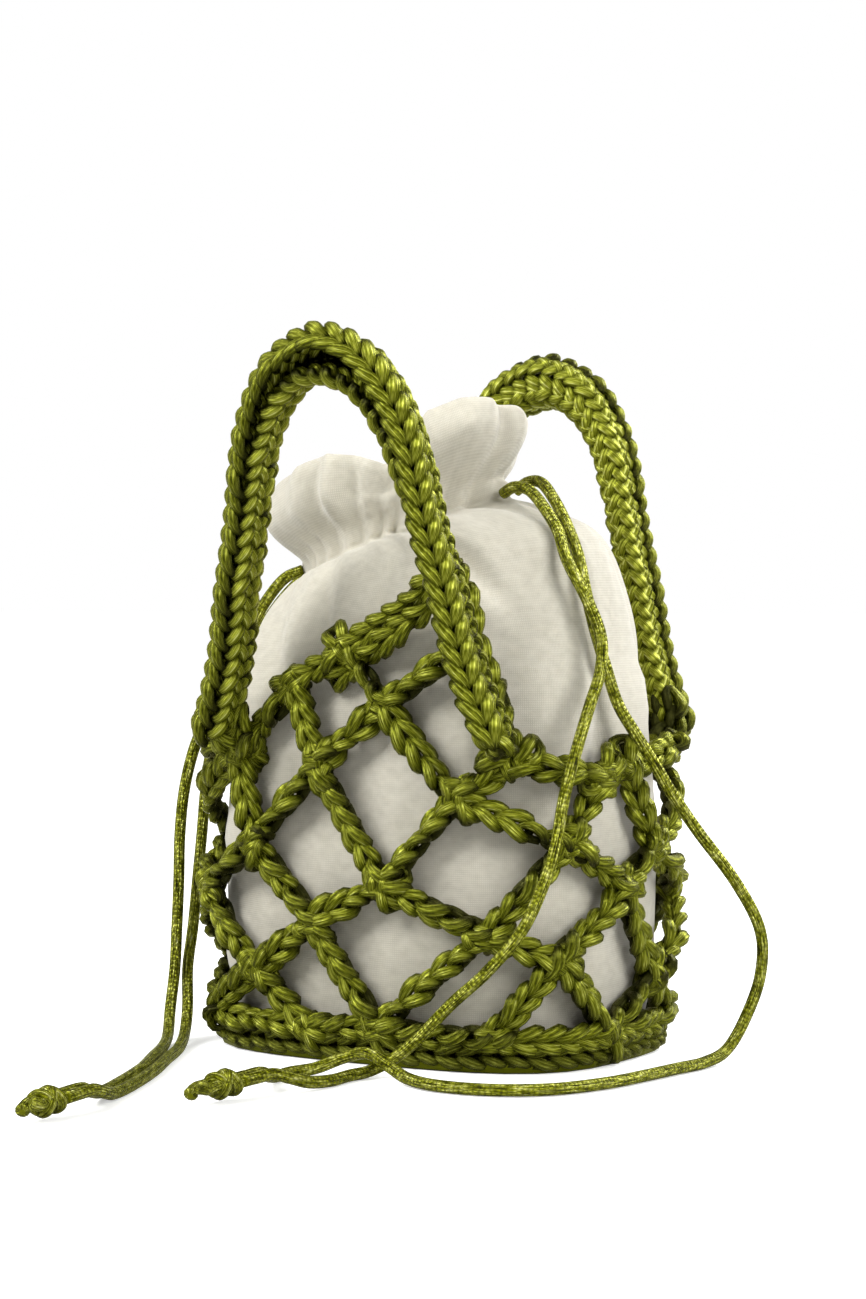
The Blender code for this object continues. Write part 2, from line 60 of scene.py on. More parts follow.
# Drawstrings: round knitted satin cord, 4 mm thick, threaded through the pouch's casing. Two
# strands leave it at each end, hang over the net, lie on the ground and end together in a knot.
CORD = 0.004
CORD_SIDES = 12
CORD_STEP = 0.0018  # between the rings of its tube
CORD_ROUTES = {
    # places along the middle of each strand, in millimetres, from the casing to the knot
    "drawstring_right_front": (
        (27.6, -4, 189), (33, -6, 191), (39.5, -8, 190), (47, -12, 185), (56, -17, 176),
        (63, -23, 166), (70, -22, 153), (74, -20, 141), (76, -24, 130), (76.5, -32, 119),
        (77, -41, 106), (75.5, -47, 90), (74, -50, 74), (71, -53.5, 61), (66, -57.5, 48),
        (56, -62, 35), (44, -64.5, 24), (33.5, -66.5, 13), (26, -69.5, 6.2), (20.8, -76, 2.5),
        (19.4, -86, 2.2), (20, -97, 2.2), (18.2, -106.5, 2.8), (15.6, -113, 4.8),
        (13.4, -119.1, 6.6), (12.1, -126, 6.4), (11, -131.9, 6),
    ),
    "drawstring_right_loop": (
        (27.8, 4, 190), (33, 3.5, 193), (39.5, 1, 192.5), (47, -4, 187), (54.5, -8.5, 178.5),
        (61.5, -13, 168), (66.5, -16.5, 155.5), (69.5, -15.5, 142.5), (72.5, -13.5, 130.5),
        (76.5, -13, 119), (81, -9, 109), (86, -5, 99), (89.5, -0.5, 90), (96, 6, 77),
        (106, 14, 60), (112, 20, 44), (111, 22.5, 29), (107, 20, 15), (104.5, 11, 5),
        (103, -2, 2.3), (101, -18, 2.2), (99, -36, 2.2), (95.5, -56, 2.2), (87, -75, 2.2),
        (72, -86, 2.2), (54, -88, 2.2), (40, -83.5, 2.6), (30, -79.5, 5.3), (20.5, -76.8, 8.2),
        (11.5, -76.3, 6.2), (3.6, -81, 2.7), (0, -90, 2.2), (0.5, -99, 2.2), (3.4, -107, 3.4),
        (6.4, -113.5, 5.4), (8, -119, 6.6), (7.6, -125.1, 6.4), (6.5, -131.05, 6),
    ),
    "drawstring_left_front": (
        (-55, -3.5, 163.5), (-61.5, -5.5, 160.5), (-67, -9.5, 152), (-71, -15, 140),
        (-75.5, -20, 127), (-81, -23, 114), (-86.5, -25, 101), (-89.5, -27, 86), (-90, -29, 70),
        (-89, -31, 54), (-88, -33.5, 38), (-87, -36, 24), (-84.5, -42, 11), (-78, -52, 3.6),
        (-68, -68, 2.2), (-57, -88, 2.2), (-45, -110, 2.2), (-34, -135, 2.2), (-27, -153, 2.4),
        (-22.3, -164.5, 4.6), (-20, -171.5, 6.6), (-20, -178.5, 6.4), (-20.1, -184.5, 6),
    ),
    "drawstring_left_back": (
        (-54, 4, 163), (-61, 4, 160), (-68, 1, 152), (-74, -3, 141), (-79, -7, 128),
        (-84, -10, 115), (-88, -12.5, 101), (-89, -15, 86), (-88.5, -18, 70), (-87.5, -22, 54),
        (-86.5, -26, 38), (-85.5, -30.5, 24), (-80, -38, 11.5), (-73, -49, 4.4), (-62, -67, 2.2),
        (-51, -88, 2.2), (-39.5, -110, 2.2), (-28.6, -135, 2.2), (-21.4, -154, 2.6),
        (-16.7, -165, 4.8), (-15.4, -171.6, 6.6), (-15.4, -178.5, 6.4), (-15.5, -184.5, 6),
    ),
}


def between(before, start, end, after, t):
    """A value on the smooth curve through four, at t of the way from the second to the third."""
    return 0.5 * (
        start * 2.0
        + (end - before) * t
        + (before * 2.0 - start * 5.0 + end * 4.0 - after) * t ** 2
        + (start * 3.0 - before - end * 3.0 + after) * t ** 3
    )


def smooth_line(points, fine=12):
    """A smooth curve through the points."""
    first = points[0] * 2.0 - points[1]
    last = points[-1] * 2.0 - points[-2]
    padded = [first, *points, last]
    line = []
    for four in zip(padded, padded[1:], padded[2:], padded[3:]):
        line += [between(*four, step / fine) for step in range(fine)]
    line.append(points[-1].copy())
    return line


def along(points, count):
    """The same line with its points evenly spaced."""
    run = [0.0]
    for start, end in zip(points, points[1:]):
        run.append(run[-1] + (end - start).length)
    spaced = []
    place = 0
    for step in range(count):
        target = run[-1] * step / (count - 1)
        while place < len(points) - 2 and run[place + 1] < target:
            place += 1
        part = (target - run[place]) / max(run[place + 1] - run[place], 1e-12)
        spaced.append(points[place].lerp(points[place + 1], min(1.0, part)))
    return spaced


def line_length(points):
    """How long a line is along its points."""
    return sum((end - start).length for start, end in zip(points, points[1:]))


def table(rows, at):
    """Reads a table of pairs, whose first numbers rise, between its rows."""
    if at <= rows[0][0]:
        return rows[0][1]
    for low, high in zip(rows, rows[1:]):
        if at <= high[0]:
            part = (at - low[0]) / (high[0] - low[0])
            return low[1] + part * (high[1] - low[1])
    return rows[-1][1]


def strand(shape, path, radii, sides):
    """A tube of cord along a path. Its fibre map runs along and round it, in millimetres."""
    fibre = shape.loops.layers.uv["fibre"]
    side = (path[1] - path[0]).normalized().orthogonal().normalized()
    run = 0.0
    rings = []
    for place, middle in enumerate(path):
        before = path[max(place - 1, 0)]
        after = path[min(place + 1, len(path) - 1)]
        way = (after - before).normalized()
        side = (side - way * side.dot(way)).normalized()
        up = way.cross(side)
        run += (middle - before).length
        radius = radii[place]
        rings.append((run, [
            shape.verts.new(
                middle
                + side * radius * math.cos(math.tau * step / sides)
                + up * radius * math.sin(math.tau * step / sides)
            )
            for step in range(sides)
        ]))
    round_it = math.tau * max(radii) / sides
    for (run, ring), (next_run, following) in zip(rings, rings[1:]):
        for step in range(sides):
            beside = (step + 1) % sides
            face = shape.faces.new((ring[step], ring[beside], following[beside], following[step]))
            face.smooth = True
            corners = ((run, step), (run, step + 1), (next_run, step + 1), (next_run, step))
            for loop, (reach, turn) in zip(face.loops, corners):
                loop[fibre].uv = (reach * 1000.0, turn * round_it * 1000.0)
    shape.faces.new(rings[0][1][::-1]).smooth = True
    shape.faces.new(rings[-1][1]).smooth = True


def new_shape():
    """An empty shape with the map that satin follows."""
    shape = bmesh.new()
    shape.loops.layers.uv.new("fibre")
    return shape


def add_piece(name, shape, material=None):
    """Turns the built shape into an object at the origin."""
    mesh = bpy.data.meshes.new(name)
    shape.to_mesh(mesh)
    shape.free()
    if material:
        mesh.materials.append(material)
    piece = bpy.data.objects.new(name, mesh)
    bpy.context.scene.collection.objects.link(piece)
    return piece


def feed(tree, value, socket):
    """Links another node's output to a socket, or gives the socket a plain value."""
    if isinstance(value, bpy.types.NodeSocket):
        tree.links.new(value, socket)
    else:
        socket.default_value = value


def node(tree, kind, settings=(), **inputs):
    """A node with its settings, and with each named input fed."""
    made = tree.nodes.new(kind)
    for name, value in dict(settings).items():
        setattr(made, name, value)
    for name, value in inputs.items():
        feed(tree, value, made.inputs[name.replace("_", " ")])
    return made


def maths(tree, operation, *values):
    """The output of one sum with the values."""
    made = node(tree, "ShaderNodeMath", {"operation": operation})
    for value, socket in zip(values, made.inputs):
        feed(tree, value, socket)
    return made.outputs[0]


def scaled(tree, vector, by):
    """The output of a node that makes a colour or a size larger or smaller."""
    made = node(tree, "ShaderNodeVectorMath", {"operation": "SCALE"}, Scale=by)
    feed(tree, vector, made.inputs[0])
    return made.outputs["Vector"]


def new_paint(name, **inputs):
    """A new material, its nodes and its main shader with the named inputs set."""
    material = bpy.data.materials.new(name)
    material.use_nodes = True
    shader = material.node_tree.nodes["Principled BSDF"]
    for label, value in inputs.items():
        shader.inputs[label.replace("_", " ")].default_value = value
    return material, material.node_tree, shader


SHADE_STOPS = (0.39, 0.50, 0.61, 0.71)
FINE_SHARE = 0.6
BROAD_SHARE = 0.4


def satin(name, shades, streaks, knit=0.0, painted_hollow_shade=False):
    """Glossy satin cord: fibres along it, a green whose tone varies, from painted shade between the
    fibres to a painted sheen on the brightest ones, and the dots of its knitting, painted shade
    between its loops with painted glints on them. With the hollow shade it is darker low down in
    its stitches, where the crown attribute is small, as painted shade in their hollows, and a
    little lighter at their crowns."""
    material, tree, shader = new_paint(
        name, Metallic=0.55, Roughness=0.21, Specular_IOR_Level=0.45,
        Specular_Tint=(1.0, 1.0, 0.3, 1.0), Anisotropic=0.4,
    )
    place = node(tree, "ShaderNodeUVMap", {"uv_map": "fibre"}).outputs["UV"]
    fine = node(tree, "ShaderNodeMapping", Vector=place, Scale=(0.10, 3.0, 1.0))
    fibres = node(
        tree, "ShaderNodeTexNoise", Vector=fine.outputs["Vector"], Scale=1.0, Detail=3.0,
        Roughness=0.65,
    ).outputs["Fac"]
    broad = node(tree, "ShaderNodeMapping", Vector=place, Scale=(0.22, 0.7, 1.0))
    broad_shade = node(
        tree, "ShaderNodeTexNoise", Vector=broad.outputs["Vector"], Scale=1.0, Detail=2.0
    ).outputs["Fac"]
    mixed = maths(
        tree, "MULTIPLY_ADD", fibres, FINE_SHARE, maths(tree, "MULTIPLY", broad_shade, BROAD_SHARE)
    )
    # The ramp paints shade into the hollows between fibres and a sheen onto the brightest ones.
    ramp = node(tree, "ShaderNodeValToRGB", Fac=mixed)
    for position in SHADE_STOPS[1:-1]:
        ramp.color_ramp.elements.new(position)
    for stop, position, shade in zip(ramp.color_ramp.elements, SHADE_STOPS, shades):
        stop.position = position
        stop.color = (*shade, 1.0)
    colour = ramp.outputs["Color"]
    relief = node(tree, "ShaderNodeBump", Height=fibres, Strength=streaks, Distance=0.0008)
    if knit:
        loops = node(tree, "ShaderNodeMapping", Vector=place, Scale=(0.62, 0.9, 1.0))
        cells = node(
            tree, "ShaderNodeTexVoronoi", {"feature": "F1"}, Vector=loops.outputs["Vector"],
            Scale=1.0, Randomness=0.45,
        ).outputs["Distance"]
        relief = node(
            tree, "ShaderNodeBump", {"invert": True}, Height=cells, Strength=knit,
            Distance=0.0009, Normal=relief.outputs["Normal"],
        )
        # Painted shade between the knit loops and painted glints on them: the colour darkens
        # towards each cell's edge and lightens at its middle.
        knit_painted_shade = node(
            tree, "ShaderNodeMapRange", Value=cells, From_Min=0.25, From_Max=0.65, To_Min=1.15,
            To_Max=0.45,
        ).outputs["Result"]
        colour = scaled(tree, colour, knit_painted_shade)
    # Painted shade in the stitches' hollows: the colour darkens where the crown attribute is low
    # and lightens a little at the crowns.
    if painted_hollow_shade:
        crown = node(tree, "ShaderNodeAttribute", {"attribute_name": "crown"}).outputs["Fac"]
        shadow = node(
            tree, "ShaderNodeMapRange", Value=crown, From_Min=0.3, From_Max=0.9, To_Min=0.08,
            To_Max=1.2,
        ).outputs["Result"]
        colour = scaled(tree, colour, shadow)
    tree.links.new(colour, shader.inputs["Base Color"])
    tree.links.new(relief.outputs["Normal"], shader.inputs["Normal"])
    return material


# Greens of the satin: from painted shade in the hollows between fibres, through its own greens, to
# a painted near-white sheen on the brightest fibres.
SATIN_GREENS_PAINTED_SHADE_AND_SHEEN = (
    (0.010, 0.012, 0.0), (0.105, 0.117, 0.001), (0.38, 0.40, 0.06), (0.95, 0.96, 0.55),
)
CORD_GREENS_PAINTED_SHADE_AND_SHEEN = (
    (0.020, 0.022, 0.0), (0.22, 0.237, 0.003), (0.68, 0.69, 0.16), (0.98, 0.98, 0.70),
)
# The knitted cord's satin, with its painted shade between fibres and painted sheen on the
# brightest.
cord_satin = satin("knitted_satin", CORD_GREENS_PAINTED_SHADE_AND_SHEEN, 0.7, knit=0.9)
cord_lines = {}
for name, places in CORD_ROUTES.items():
    line = smooth_line([Vector(place) * 0.001 for place in places])
    cord_lines[name] = along(line, round(line_length(line) / CORD_STEP))
    shape = new_shape()
    strand(shape, cord_lines[name], [0.5 * CORD] * len(cord_lines[name]), CORD_SIDES)
    cord = add_piece(f"{name}_cord", shape, cord_satin)
    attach(cord, "root")
    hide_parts(name)

# Knots: each pair of strands is tied together in one overhand knot, a ball of crossed turns, and
# its short cut ends stand out beyond it, melted to small beads.
KNOTS = {
    # name: (face towards the cords, tail's end, length with its ends), in millimetres
    "knot_right": ((8.7, -131.8, 6.0), (5.0, -152.0, 4.8), 18.2),
    "knot_left": ((-17.8, -184.8, 6.0), (-18.0, -206.0, 4.8), 15.0),
}
KNOT_CORDS = {
    "knot_right": ("drawstring_right_front", "drawstring_right_loop"),
    "knot_left": ("drawstring_left_front", "drawstring_left_back"),
}
KNOT_TURNS = (
    # middle along the knot, radius in millimetres, lean about two ways in degrees
    (3.6, 2.9, 30, 12), (6.3, 3.0, -26, -18), (8.4, 2.5, 22, 24),
)
KNOT_STRAND = 0.0021  # radius, as the cord is pressed together
TURN_STEPS = 30
TURN_OVERLAP = 1.04
TAIL_SWELL = (
    # share of the way along, radius in millimetres; the cord spreads into a melted bead
    (0.0, 1.9), (0.6, 1.9), (0.76, 2.1), (0.90, 2.35), (0.97, 1.9), (1.0, 1.0),
)
for name, (face, end, reach) in KNOTS.items():
    face = Vector(face) * 0.001
    way = Vector(end) * 0.001 - face
    turn = way.to_track_quat("Z", "Y").to_matrix()
    shape = new_shape()
    for middle, radius, lean, swing in KNOT_TURNS:
        tilted = Matrix.Rotation(math.radians(lean), 3, "X") @ Matrix.Rotation(
            math.radians(swing), 3, "Y"
        )
        path = []
        for step in range(TURN_STEPS):
            angle = math.tau * TURN_OVERLAP * step / (TURN_STEPS - 1)
            spot = tilted @ Vector((radius * math.cos(angle), radius * math.sin(angle), 0.0))
            path.append(face + turn @ Vector((spot.x, spot.y, spot.z + middle)) * 0.001)
        strand(shape, path, [KNOT_STRAND] * len(path), CORD_SIDES)
    for side in (-1, 1):
        tail = smooth_line([face + turn @ (Vector(spot) * 0.001) for spot in (
            (side * 0.8, 0.0, 7.0), (side * 1.7, 0.4, 9.8), (side * 2.4, 0.2, reach - 3.4),
            (side * 2.4, side * 0.8, reach - 1.6), (side * 1.6, side * 1.6, reach),
        )], 6)
        count = len(tail)
        radii = [table(TAIL_SWELL, step / (count - 1)) * 0.001 for step in range(count)]
        strand(shape, tail, radii, CORD_SIDES)
    for cord_name, side in zip(KNOT_CORDS[name], (1, -1)):
        entry = cord_lines[cord_name][-1]
        inside = face + turn @ Vector((side * 0.0004, 0.0, 0.0045))
        strand(shape, [entry, entry.lerp(inside, 0.5), inside], [0.5 * CORD] * 3, CORD_SIDES)
    knot = add_piece(f"{name}_tied", shape, cord_satin)
    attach(knot, "root")
    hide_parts(name)
    for cord_name in KNOT_CORDS[name]:
        line = cord_lines[cord_name]

# Net: chains crocheted from the same satin, worked loosely, so that each stitch is two plump
# legs that meet at a point. Chains are joined where they cross by a stitch round the other one.
STITCH = 0.0068
CHAIN_POINTS = 13  # on each chain's guide line
SEWN_SHORT = 0.0095  # how far a chain sewn to a handle ends before its joint
BESIDE = 0.0062  # how far the second chain of the peak lies below the first
JOINTS = {
    # where chains meet on one half, in millimetres; the other half is turned half a turn
    "foot_right": (56.8, -48.2, 100.5), "hem_0": (-38.7, -54.4, 29.5),
    "hem_2": (69.3, -39.7, 36.9), "hem_3": (76.7, 10.2, 27.0), "hip_0": (-47.3, -52.0, 101.0),
    "hip_1": (-13.1, -56.1, 98.5), "hip_2": (39.4, -54.5, 88.7), "leg_foot": (52.9, -48.6, 116.2),
    "leg_high": (39.4, -54.9, 164.2), "leg_low": (44.7, -51.9, 140.8),
    "low_0": (-65.3, -43.9, 54.0), "low_1": (-14.4, -56.9, 46.4), "low_2": (49.7, -52.4, 44.9),
    "low_3": (77.9, -11.5, 59.0), "peak": (-4.2, -51.8, 136.5), "rim_corner": (69.3, 37.1, 104.0),
    "rim_front": (75.8, -22.1, 95.6), "rim_side": (76.8, -6.8, 98.5),
    "ring_0": (-66.0, -37.8, 11.3), "ring_1": (-18.7, -54.1, 11.3), "ring_2": (48.9, -49.3, 11.3),
    "ring_3": (73.8, -15.4, 11.3), "ring_mid": (9.4, -54.5, 12.5),
    "upper_left": (-24.2, -52.6, 126.0), "upper_mid": (12.0, -54.0, 118.7),
    "waist_0": (-40.2, -54.8, 71.7), "waist_1": (12.7, -56.9, 60.0),
    "waist_2": (71.3, -36.9, 74.3), "waist_3": (78.0, 8.1, 70.0),
}
CHAINS = (
    # from, to, places between them; a + names a joint of the other half
    ("foot_right", "leg_foot"), ("hem_0", "low_1"), ("hem_0", "ring_1"),
    ("hem_2", "low_3", (75.9, -26.4, 47.9)), ("hem_2", "ring_3", (73.6, -27.9, 23.7)),
    ("hem_3", "low_0+", (76.7, 22.6, 36.0), (72.9, 34.2, 45.0)),
    ("hem_3", "ring_0+", (73.6, 25.0, 18.8)), ("hip_0", "waist_0"),
    ("hip_0", "rim_corner+", (-59.6, -46.5, 102.5)), ("hip_1", "upper_mid"),
    ("hip_1", "waist_1"), ("hip_2", "foot_right"),
    ("hip_2", "waist_2", (51.6, -51.5, 83.9), (62.8, -45.9, 79.1)),
    ("leg_foot", "leg_low", (48.3, -50.2, 128.5)), ("leg_high", "peak"),
    ("leg_low", "leg_high", (42.3, -53.4, 152.5)), ("low_0", "hem_0", (-53.0, -51.2, 41.7)),
    ("low_0", "waist_0", (-53.5, -51.0, 62.8)), ("low_1", "ring_mid"), ("low_1", "waist_1"),
    ("low_2", "hem_2", (60.5, -47.5, 40.9)), ("low_2", "waist_2", (61.9, -46.5, 59.6)),
    ("low_3", "hem_3"), ("low_3", "waist_3"), ("peak", "upper_left"),
    ("rim_corner", "rim_side", (75.1, 23.3, 102.2), (76.7, 8.3, 100.3)),
    ("rim_front", "foot_right", (72.4, -32.8, 97.2), (65.9, -41.8, 98.9)),
    ("rim_side", "rim_front"), ("ring_0", "ring_1", (-52.3, -48.0, 11.3), (-35.8, -52.6, 11.3)),
    ("ring_0", "hem_0", (-58.6, -45.6, 16.8), (-49.1, -51.0, 23.2)), ("ring_1", "ring_mid"),
    ("ring_2", "hem_2", (59.8, -46.0, 23.7)),
    ("ring_2", "ring_3", (61.9, -42.0, 11.3), (70.6, -29.9, 11.3)), ("ring_3", "hem_3"),
    ("ring_3", "ring_0+", (74.2, 2.9, 11.3), (73.1, 21.2, 11.3)),
    ("ring_mid", "low_2", (29.6, -55.5, 28.7)), ("ring_mid", "ring_2", (29.4, -53.5, 11.5)),
    ("upper_left", "hip_0"), ("upper_left", "hip_1"), ("upper_mid", "hip_2", (25.7, -55.4, 103.7)),
    ("upper_mid", "leg_low"), ("upper_mid", "peak"), ("waist_0", "hip_1"), ("waist_0", "low_1"),
    ("waist_1", "hip_2"), ("waist_1", "low_2", (31.4, -56.0, 52.5)),
    ("waist_2", "low_3", (76.3, -24.7, 66.7)), ("waist_2", "rim_front"),
    ("waist_3", "hip_0+", (75.5, 27.5, 80.3), (64.8, 43.5, 90.7)),
    ("waist_3", "low_0+", (77.0, 21.1, 64.7), (73.2, 33.6, 59.3)), ("waist_3", "rim_side"),
)


def stitch_shape(name, legs, radii, sides, rings):
    """One stitch: cord along a smooth path through its legs, thick where they swell."""
    shape = new_shape()
    path = along(smooth_line([Vector(spot) * 0.001 for spot in legs]), rings)
    swell = [table(radii, step / (rings - 1)) * 0.001 for step in range(rings)]
    strand(shape, path, swell, sides)
    # The crown attribute holds each point's height in its stitch, 0 at the bottom and 1 at the top;
    # the satin reads it for painted shade low in the stitch.
    crown = shape.verts.layers.float.new("crown")
    low = min(vert.co.z for vert in shape.verts)
    high = max(vert.co.z for vert in shape.verts)
    for vert in shape.verts:
        vert[crown] = (vert.co.z - low) / (high - low)
    stitch = add_piece(name, shape)
    stitch.hide_render = True
    return stitch


def guide_mesh(name, lines):
    """Lines for stitches to follow. Each is (points, the way that stitches face, their size)."""
    mesh = bpy.data.meshes.new(name)
    spots = []
    edges = []
    facings = []
    sizes = []
    for points, ways, grown in lines:
        edges += [(len(spots) + step, len(spots) + step + 1) for step in range(len(points) - 1)]
        spots += points
        facings += ways
        sizes += grown
    mesh.from_pydata(spots, edges, [])
    facing = mesh.attributes.new("facing", "FLOAT_VECTOR", "POINT")
    size = mesh.attributes.new("size", "FLOAT_VECTOR", "POINT")
    for step, (way, grown) in enumerate(zip(facings, sizes)):
        facing.data[step].vector = way
        size.data[step].vector = grown
    guide = bpy.data.objects.new(name, mesh)
    bpy.context.scene.collection.objects.link(guide)
    return guide


def crochet_tree(name):
    """Repeats a stitch along the guide's lines, facing the way that the guide gives."""
    tree = bpy.data.node_groups.new(name, "GeometryNodeTree")
    for label, kind in (
        ("Guide", "Geometry"), ("Stitch", "Object"), ("Stitch length", "Float"),
        ("Turn", "Float"), ("Uneven", "Float"), ("Seed", "Int"), ("Satin", "Material"),
    ):
        tree.interface.new_socket(label, in_out="INPUT", socket_type=f"NodeSocket{kind}")
    tree.interface.new_socket("Crochet", in_out="OUTPUT", socket_type="NodeSocketGeometry")
    given = tree.nodes.new("NodeGroupInput").outputs
    lines = node(tree, "GeometryNodeMeshToCurve", Mesh=given["Guide"])
    spaced = node(
        tree, "GeometryNodeResampleCurve", {"mode": "LENGTH"}, Curve=lines.outputs["Curve"],
        Length=given["Stitch length"],
    )
    way = tree.nodes.new("GeometryNodeInputTangent")
    facing, size = (
        node(tree, "GeometryNodeInputNamedAttribute", {"data_type": "FLOAT_VECTOR"}, Name=label)
        for label in ("facing", "size")
    )
    aim = node(
        tree, "FunctionNodeAxesToRotation", {"primary_axis": "X", "secondary_axis": "Z"},
        Primary_Axis=way.outputs["Tangent"], Secondary_Axis=facing.outputs["Attribute"],
    )
    tilt, growth = (
        node(tree, "FunctionNodeRandomValue", {"data_type": "FLOAT"}, Seed=given["Seed"])
        for _ in range(2)
    )
    for least, most, chosen in (
        (maths(tree, "MULTIPLY", given["Turn"], -1.0), given["Turn"], tilt),
        (maths(tree, "SUBTRACT", 1.0, given["Uneven"]), maths(tree, "ADD", 1.0, given["Uneven"]),
         growth),
    ):
        feed(tree, least, chosen.inputs[2])
        feed(tree, most, chosen.inputs[3])
    roll = node(
        tree, "FunctionNodeAxisAngleToRotation", Axis=(1.0, 0.0, 0.0), Angle=tilt.outputs[1]
    )
    turned = node(
        tree, "FunctionNodeRotateRotation", {"rotation_space": "LOCAL"},
        Rotation=aim.outputs["Rotation"], Rotate_By=roll.outputs["Rotation"],
    )
    stitch = node(tree, "GeometryNodeObjectInfo", Object=given["Stitch"])
    worked = node(
        tree, "GeometryNodeInstanceOnPoints", Points=spaced.outputs["Curve"],
        Instance=stitch.outputs["Geometry"], Rotation=turned.outputs["Rotation"],
        Scale=scaled(tree, size.outputs["Attribute"], growth.outputs[1]),
    )
    whole = node(tree, "GeometryNodeRealizeInstances", Geometry=worked.outputs["Instances"])
    finish = node(
        tree, "GeometryNodeSetMaterial", Geometry=whole.outputs["Geometry"],
        Material=given["Satin"],
    )
    result = tree.nodes.new("NodeGroupOutput")
    tree.links.new(finish.outputs["Geometry"], result.inputs["Crochet"])
    return tree


crochet = crochet_tree("crochet")


def work(name, guides, stitch, length, turn, uneven, seed, material):
    """Crochets along the guides and makes the result a plain mesh."""
    guide = guide_mesh(f"{name}_guide", guides)
    modifier = guide.modifiers.new("crochet", "NODES")
    modifier.node_group = crochet
    sockets = {
        item.name: item.identifier for item in crochet.interface.items_tree
        if item.in_out == "INPUT"
    }
    given = {
        "Stitch": stitch, "Stitch length": length, "Turn": turn, "Uneven": uneven, "Seed": seed,
        "Satin": material,
    }
    for label, value in given.items():
        modifier[sockets[label]] = value
    evaluated = guide.evaluated_get(bpy.context.evaluated_depsgraph_get())
    mesh = bpy.data.meshes.new_from_object(evaluated)
    mesh.name = name
    guide.modifiers.remove(modifier)
    bpy.data.objects.remove(guide)
    piece = bpy.data.objects.new(name, mesh)
    bpy.context.scene.collection.objects.link(piece)
    return piece


UP = Vector((0.0, 0.0, 1.0))


def half_turn(spot):
    """The same place or way on the bag's other half."""
    return Vector((-spot.x, -spot.y, spot.z))


def joint_place(name):
    """Where a joint lies, on this half or, with a +, on the other."""
    spot = Vector(JOINTS[name.rstrip("+")]) * 0.001
    return half_turn(spot) if name.endswith("+") else spot


NET_HALF_LENGTH = 0.078
NET_HALF_DEPTH = 0.057
NET_SQUARENESS = 3.2


def outward(spot):
    """The way out of the net at a place, square to its rounded shape."""
    power = NET_SQUARENESS - 1.0
    across = abs(spot.x / NET_HALF_LENGTH) ** power / NET_HALF_LENGTH
    deep = abs(spot.y / NET_HALF_DEPTH) ** power / NET_HALF_DEPTH
    return Vector((math.copysign(across, spot.x), math.copysign(deep, spot.y), 0.0)).normalized()


# The crochet's satin has painted shade low in each stitch's hollows, besides the painted shade and
# sheen of its fibres.
crochet_satin = satin("crochet_satin", SATIN_GREENS_PAINTED_SHADE_AND_SHEEN, 0.6, painted_hollow_shade=True)
chain_stitch = stitch_shape(
    "chain_stitch",
    (
        (-1.6, 0.5, -0.4), (1.4, 1.2, 1.4), (4.4, 2.4, 1.6), (7.2, 3.1, 0.5), (8.8, 2.6, -1.5),
        (9.3, 0.0, -2.4), (8.8, -2.6, -1.5), (7.2, -3.1, 0.5), (4.4, -2.4, 1.6),
        (1.4, -1.2, 1.4), (-1.6, -0.5, -0.4), (-0.4, 0.0, -2.4), (3.6, 0.0, -2.9),
        (7.2, 0.2, -2.6),
    ),
    ((0.0, 1.1), (0.08, 1.7), (0.17, 2.2), (0.26, 2.3), (0.33, 1.7), (0.38, 1.2), (0.44, 1.7),
     (0.51, 2.3), (0.60, 2.2), (0.69, 1.7), (0.76, 1.1), (0.88, 1.9), (1.0, 1.4)),
    7, 24,
)
draw = random.Random(7)
net_guides = []
for half in (0, 1):
    for chain in CHAINS:
        spots = [joint_place(chain[0])]
        spots += [Vector(place) * 0.001 for place in chain[2:]]
        spots.append(joint_place(chain[1]))
        if half:
            spots = [half_turn(spot) for spot in spots]
        path = smooth_line(spots)
        if chain[1] in ("leg_low", "leg_high"):
            # it is sewn to the handle's near edge
            path = [spot for spot in path if (spot - path[-1]).length > SEWN_SHORT]
        line = along(path, CHAIN_POINTS)
        start_turn = draw.uniform(-0.9, 0.9)
        end_turn = start_turn + draw.uniform(-1.3, 1.3)
        ways = []
        for step, spot in enumerate(line):
            way = (line[min(step + 1, CHAIN_POINTS - 1)] - line[max(step - 1, 0)]).normalized()
            reach = step / (CHAIN_POINTS - 1)
            turned = Matrix.Rotation(start_turn + (end_turn - start_turn) * reach, 3, way)
            ways.append(turned @ outward(spot))
        size = Vector((1.0, 0.98, 0.95))
        net_guides.append((line, ways, [size] * len(line)))
        if chain[:2] == ("leg_high", "peak"):
            # it is doubled up to the handle
            beside = [spot - UP * BESIDE - 0.001 * outward(spot) for spot in line]
            net_guides.append((beside[3:], ways[3:], [size] * len(line[3:])))
net = work("net_chains", net_guides, chain_stitch, STITCH, 0.60, 0.13, 3, crochet_satin)
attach(net, "root")
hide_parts("net_body")

# Joints of the net: where chains meet, the cord is wrapped over both of them a few times, which
# leaves a lump of crossed loops, and here and there a small loop stands out.
wrap = stitch_shape(
    "wrap",
    ((0.2, -4.6, -2.6), (-0.2, -2.6, 0.6), (0.0, 0.0, 1.7), (0.3, 2.6, 0.6), (0.1, 4.6, -2.6)),
    ((0.0, 1.3), (0.25, 1.9), (0.5, 2.1), (0.75, 1.9), (1.0, 1.3)),
    8, 13,
)
small_loop = stitch_shape(
    "small_loop",
    (
        (-0.4, -1.2, -1.6), (0.2, -2.3, 0.8), (0.8, -1.3, 3.0), (0.8, 1.0, 3.2), (0.4, 2.3, 1.2),
        (0.0, 1.4, -1.4),
    ),
    ((0.0, 1.2), (0.3, 1.7), (0.5, 1.9), (0.7, 1.7), (1.0, 1.2)),
    7, 15,
)
WRAP_REACH = 0.0020  # each way from the joint
WRAP_RISE = 0.0004
WRAP_APART = 0.0008
WRAP_SIZE = Vector((0.95, 0.92, 0.92))
LOOP_SHARE = 0.6  # of the joints above the lowest round
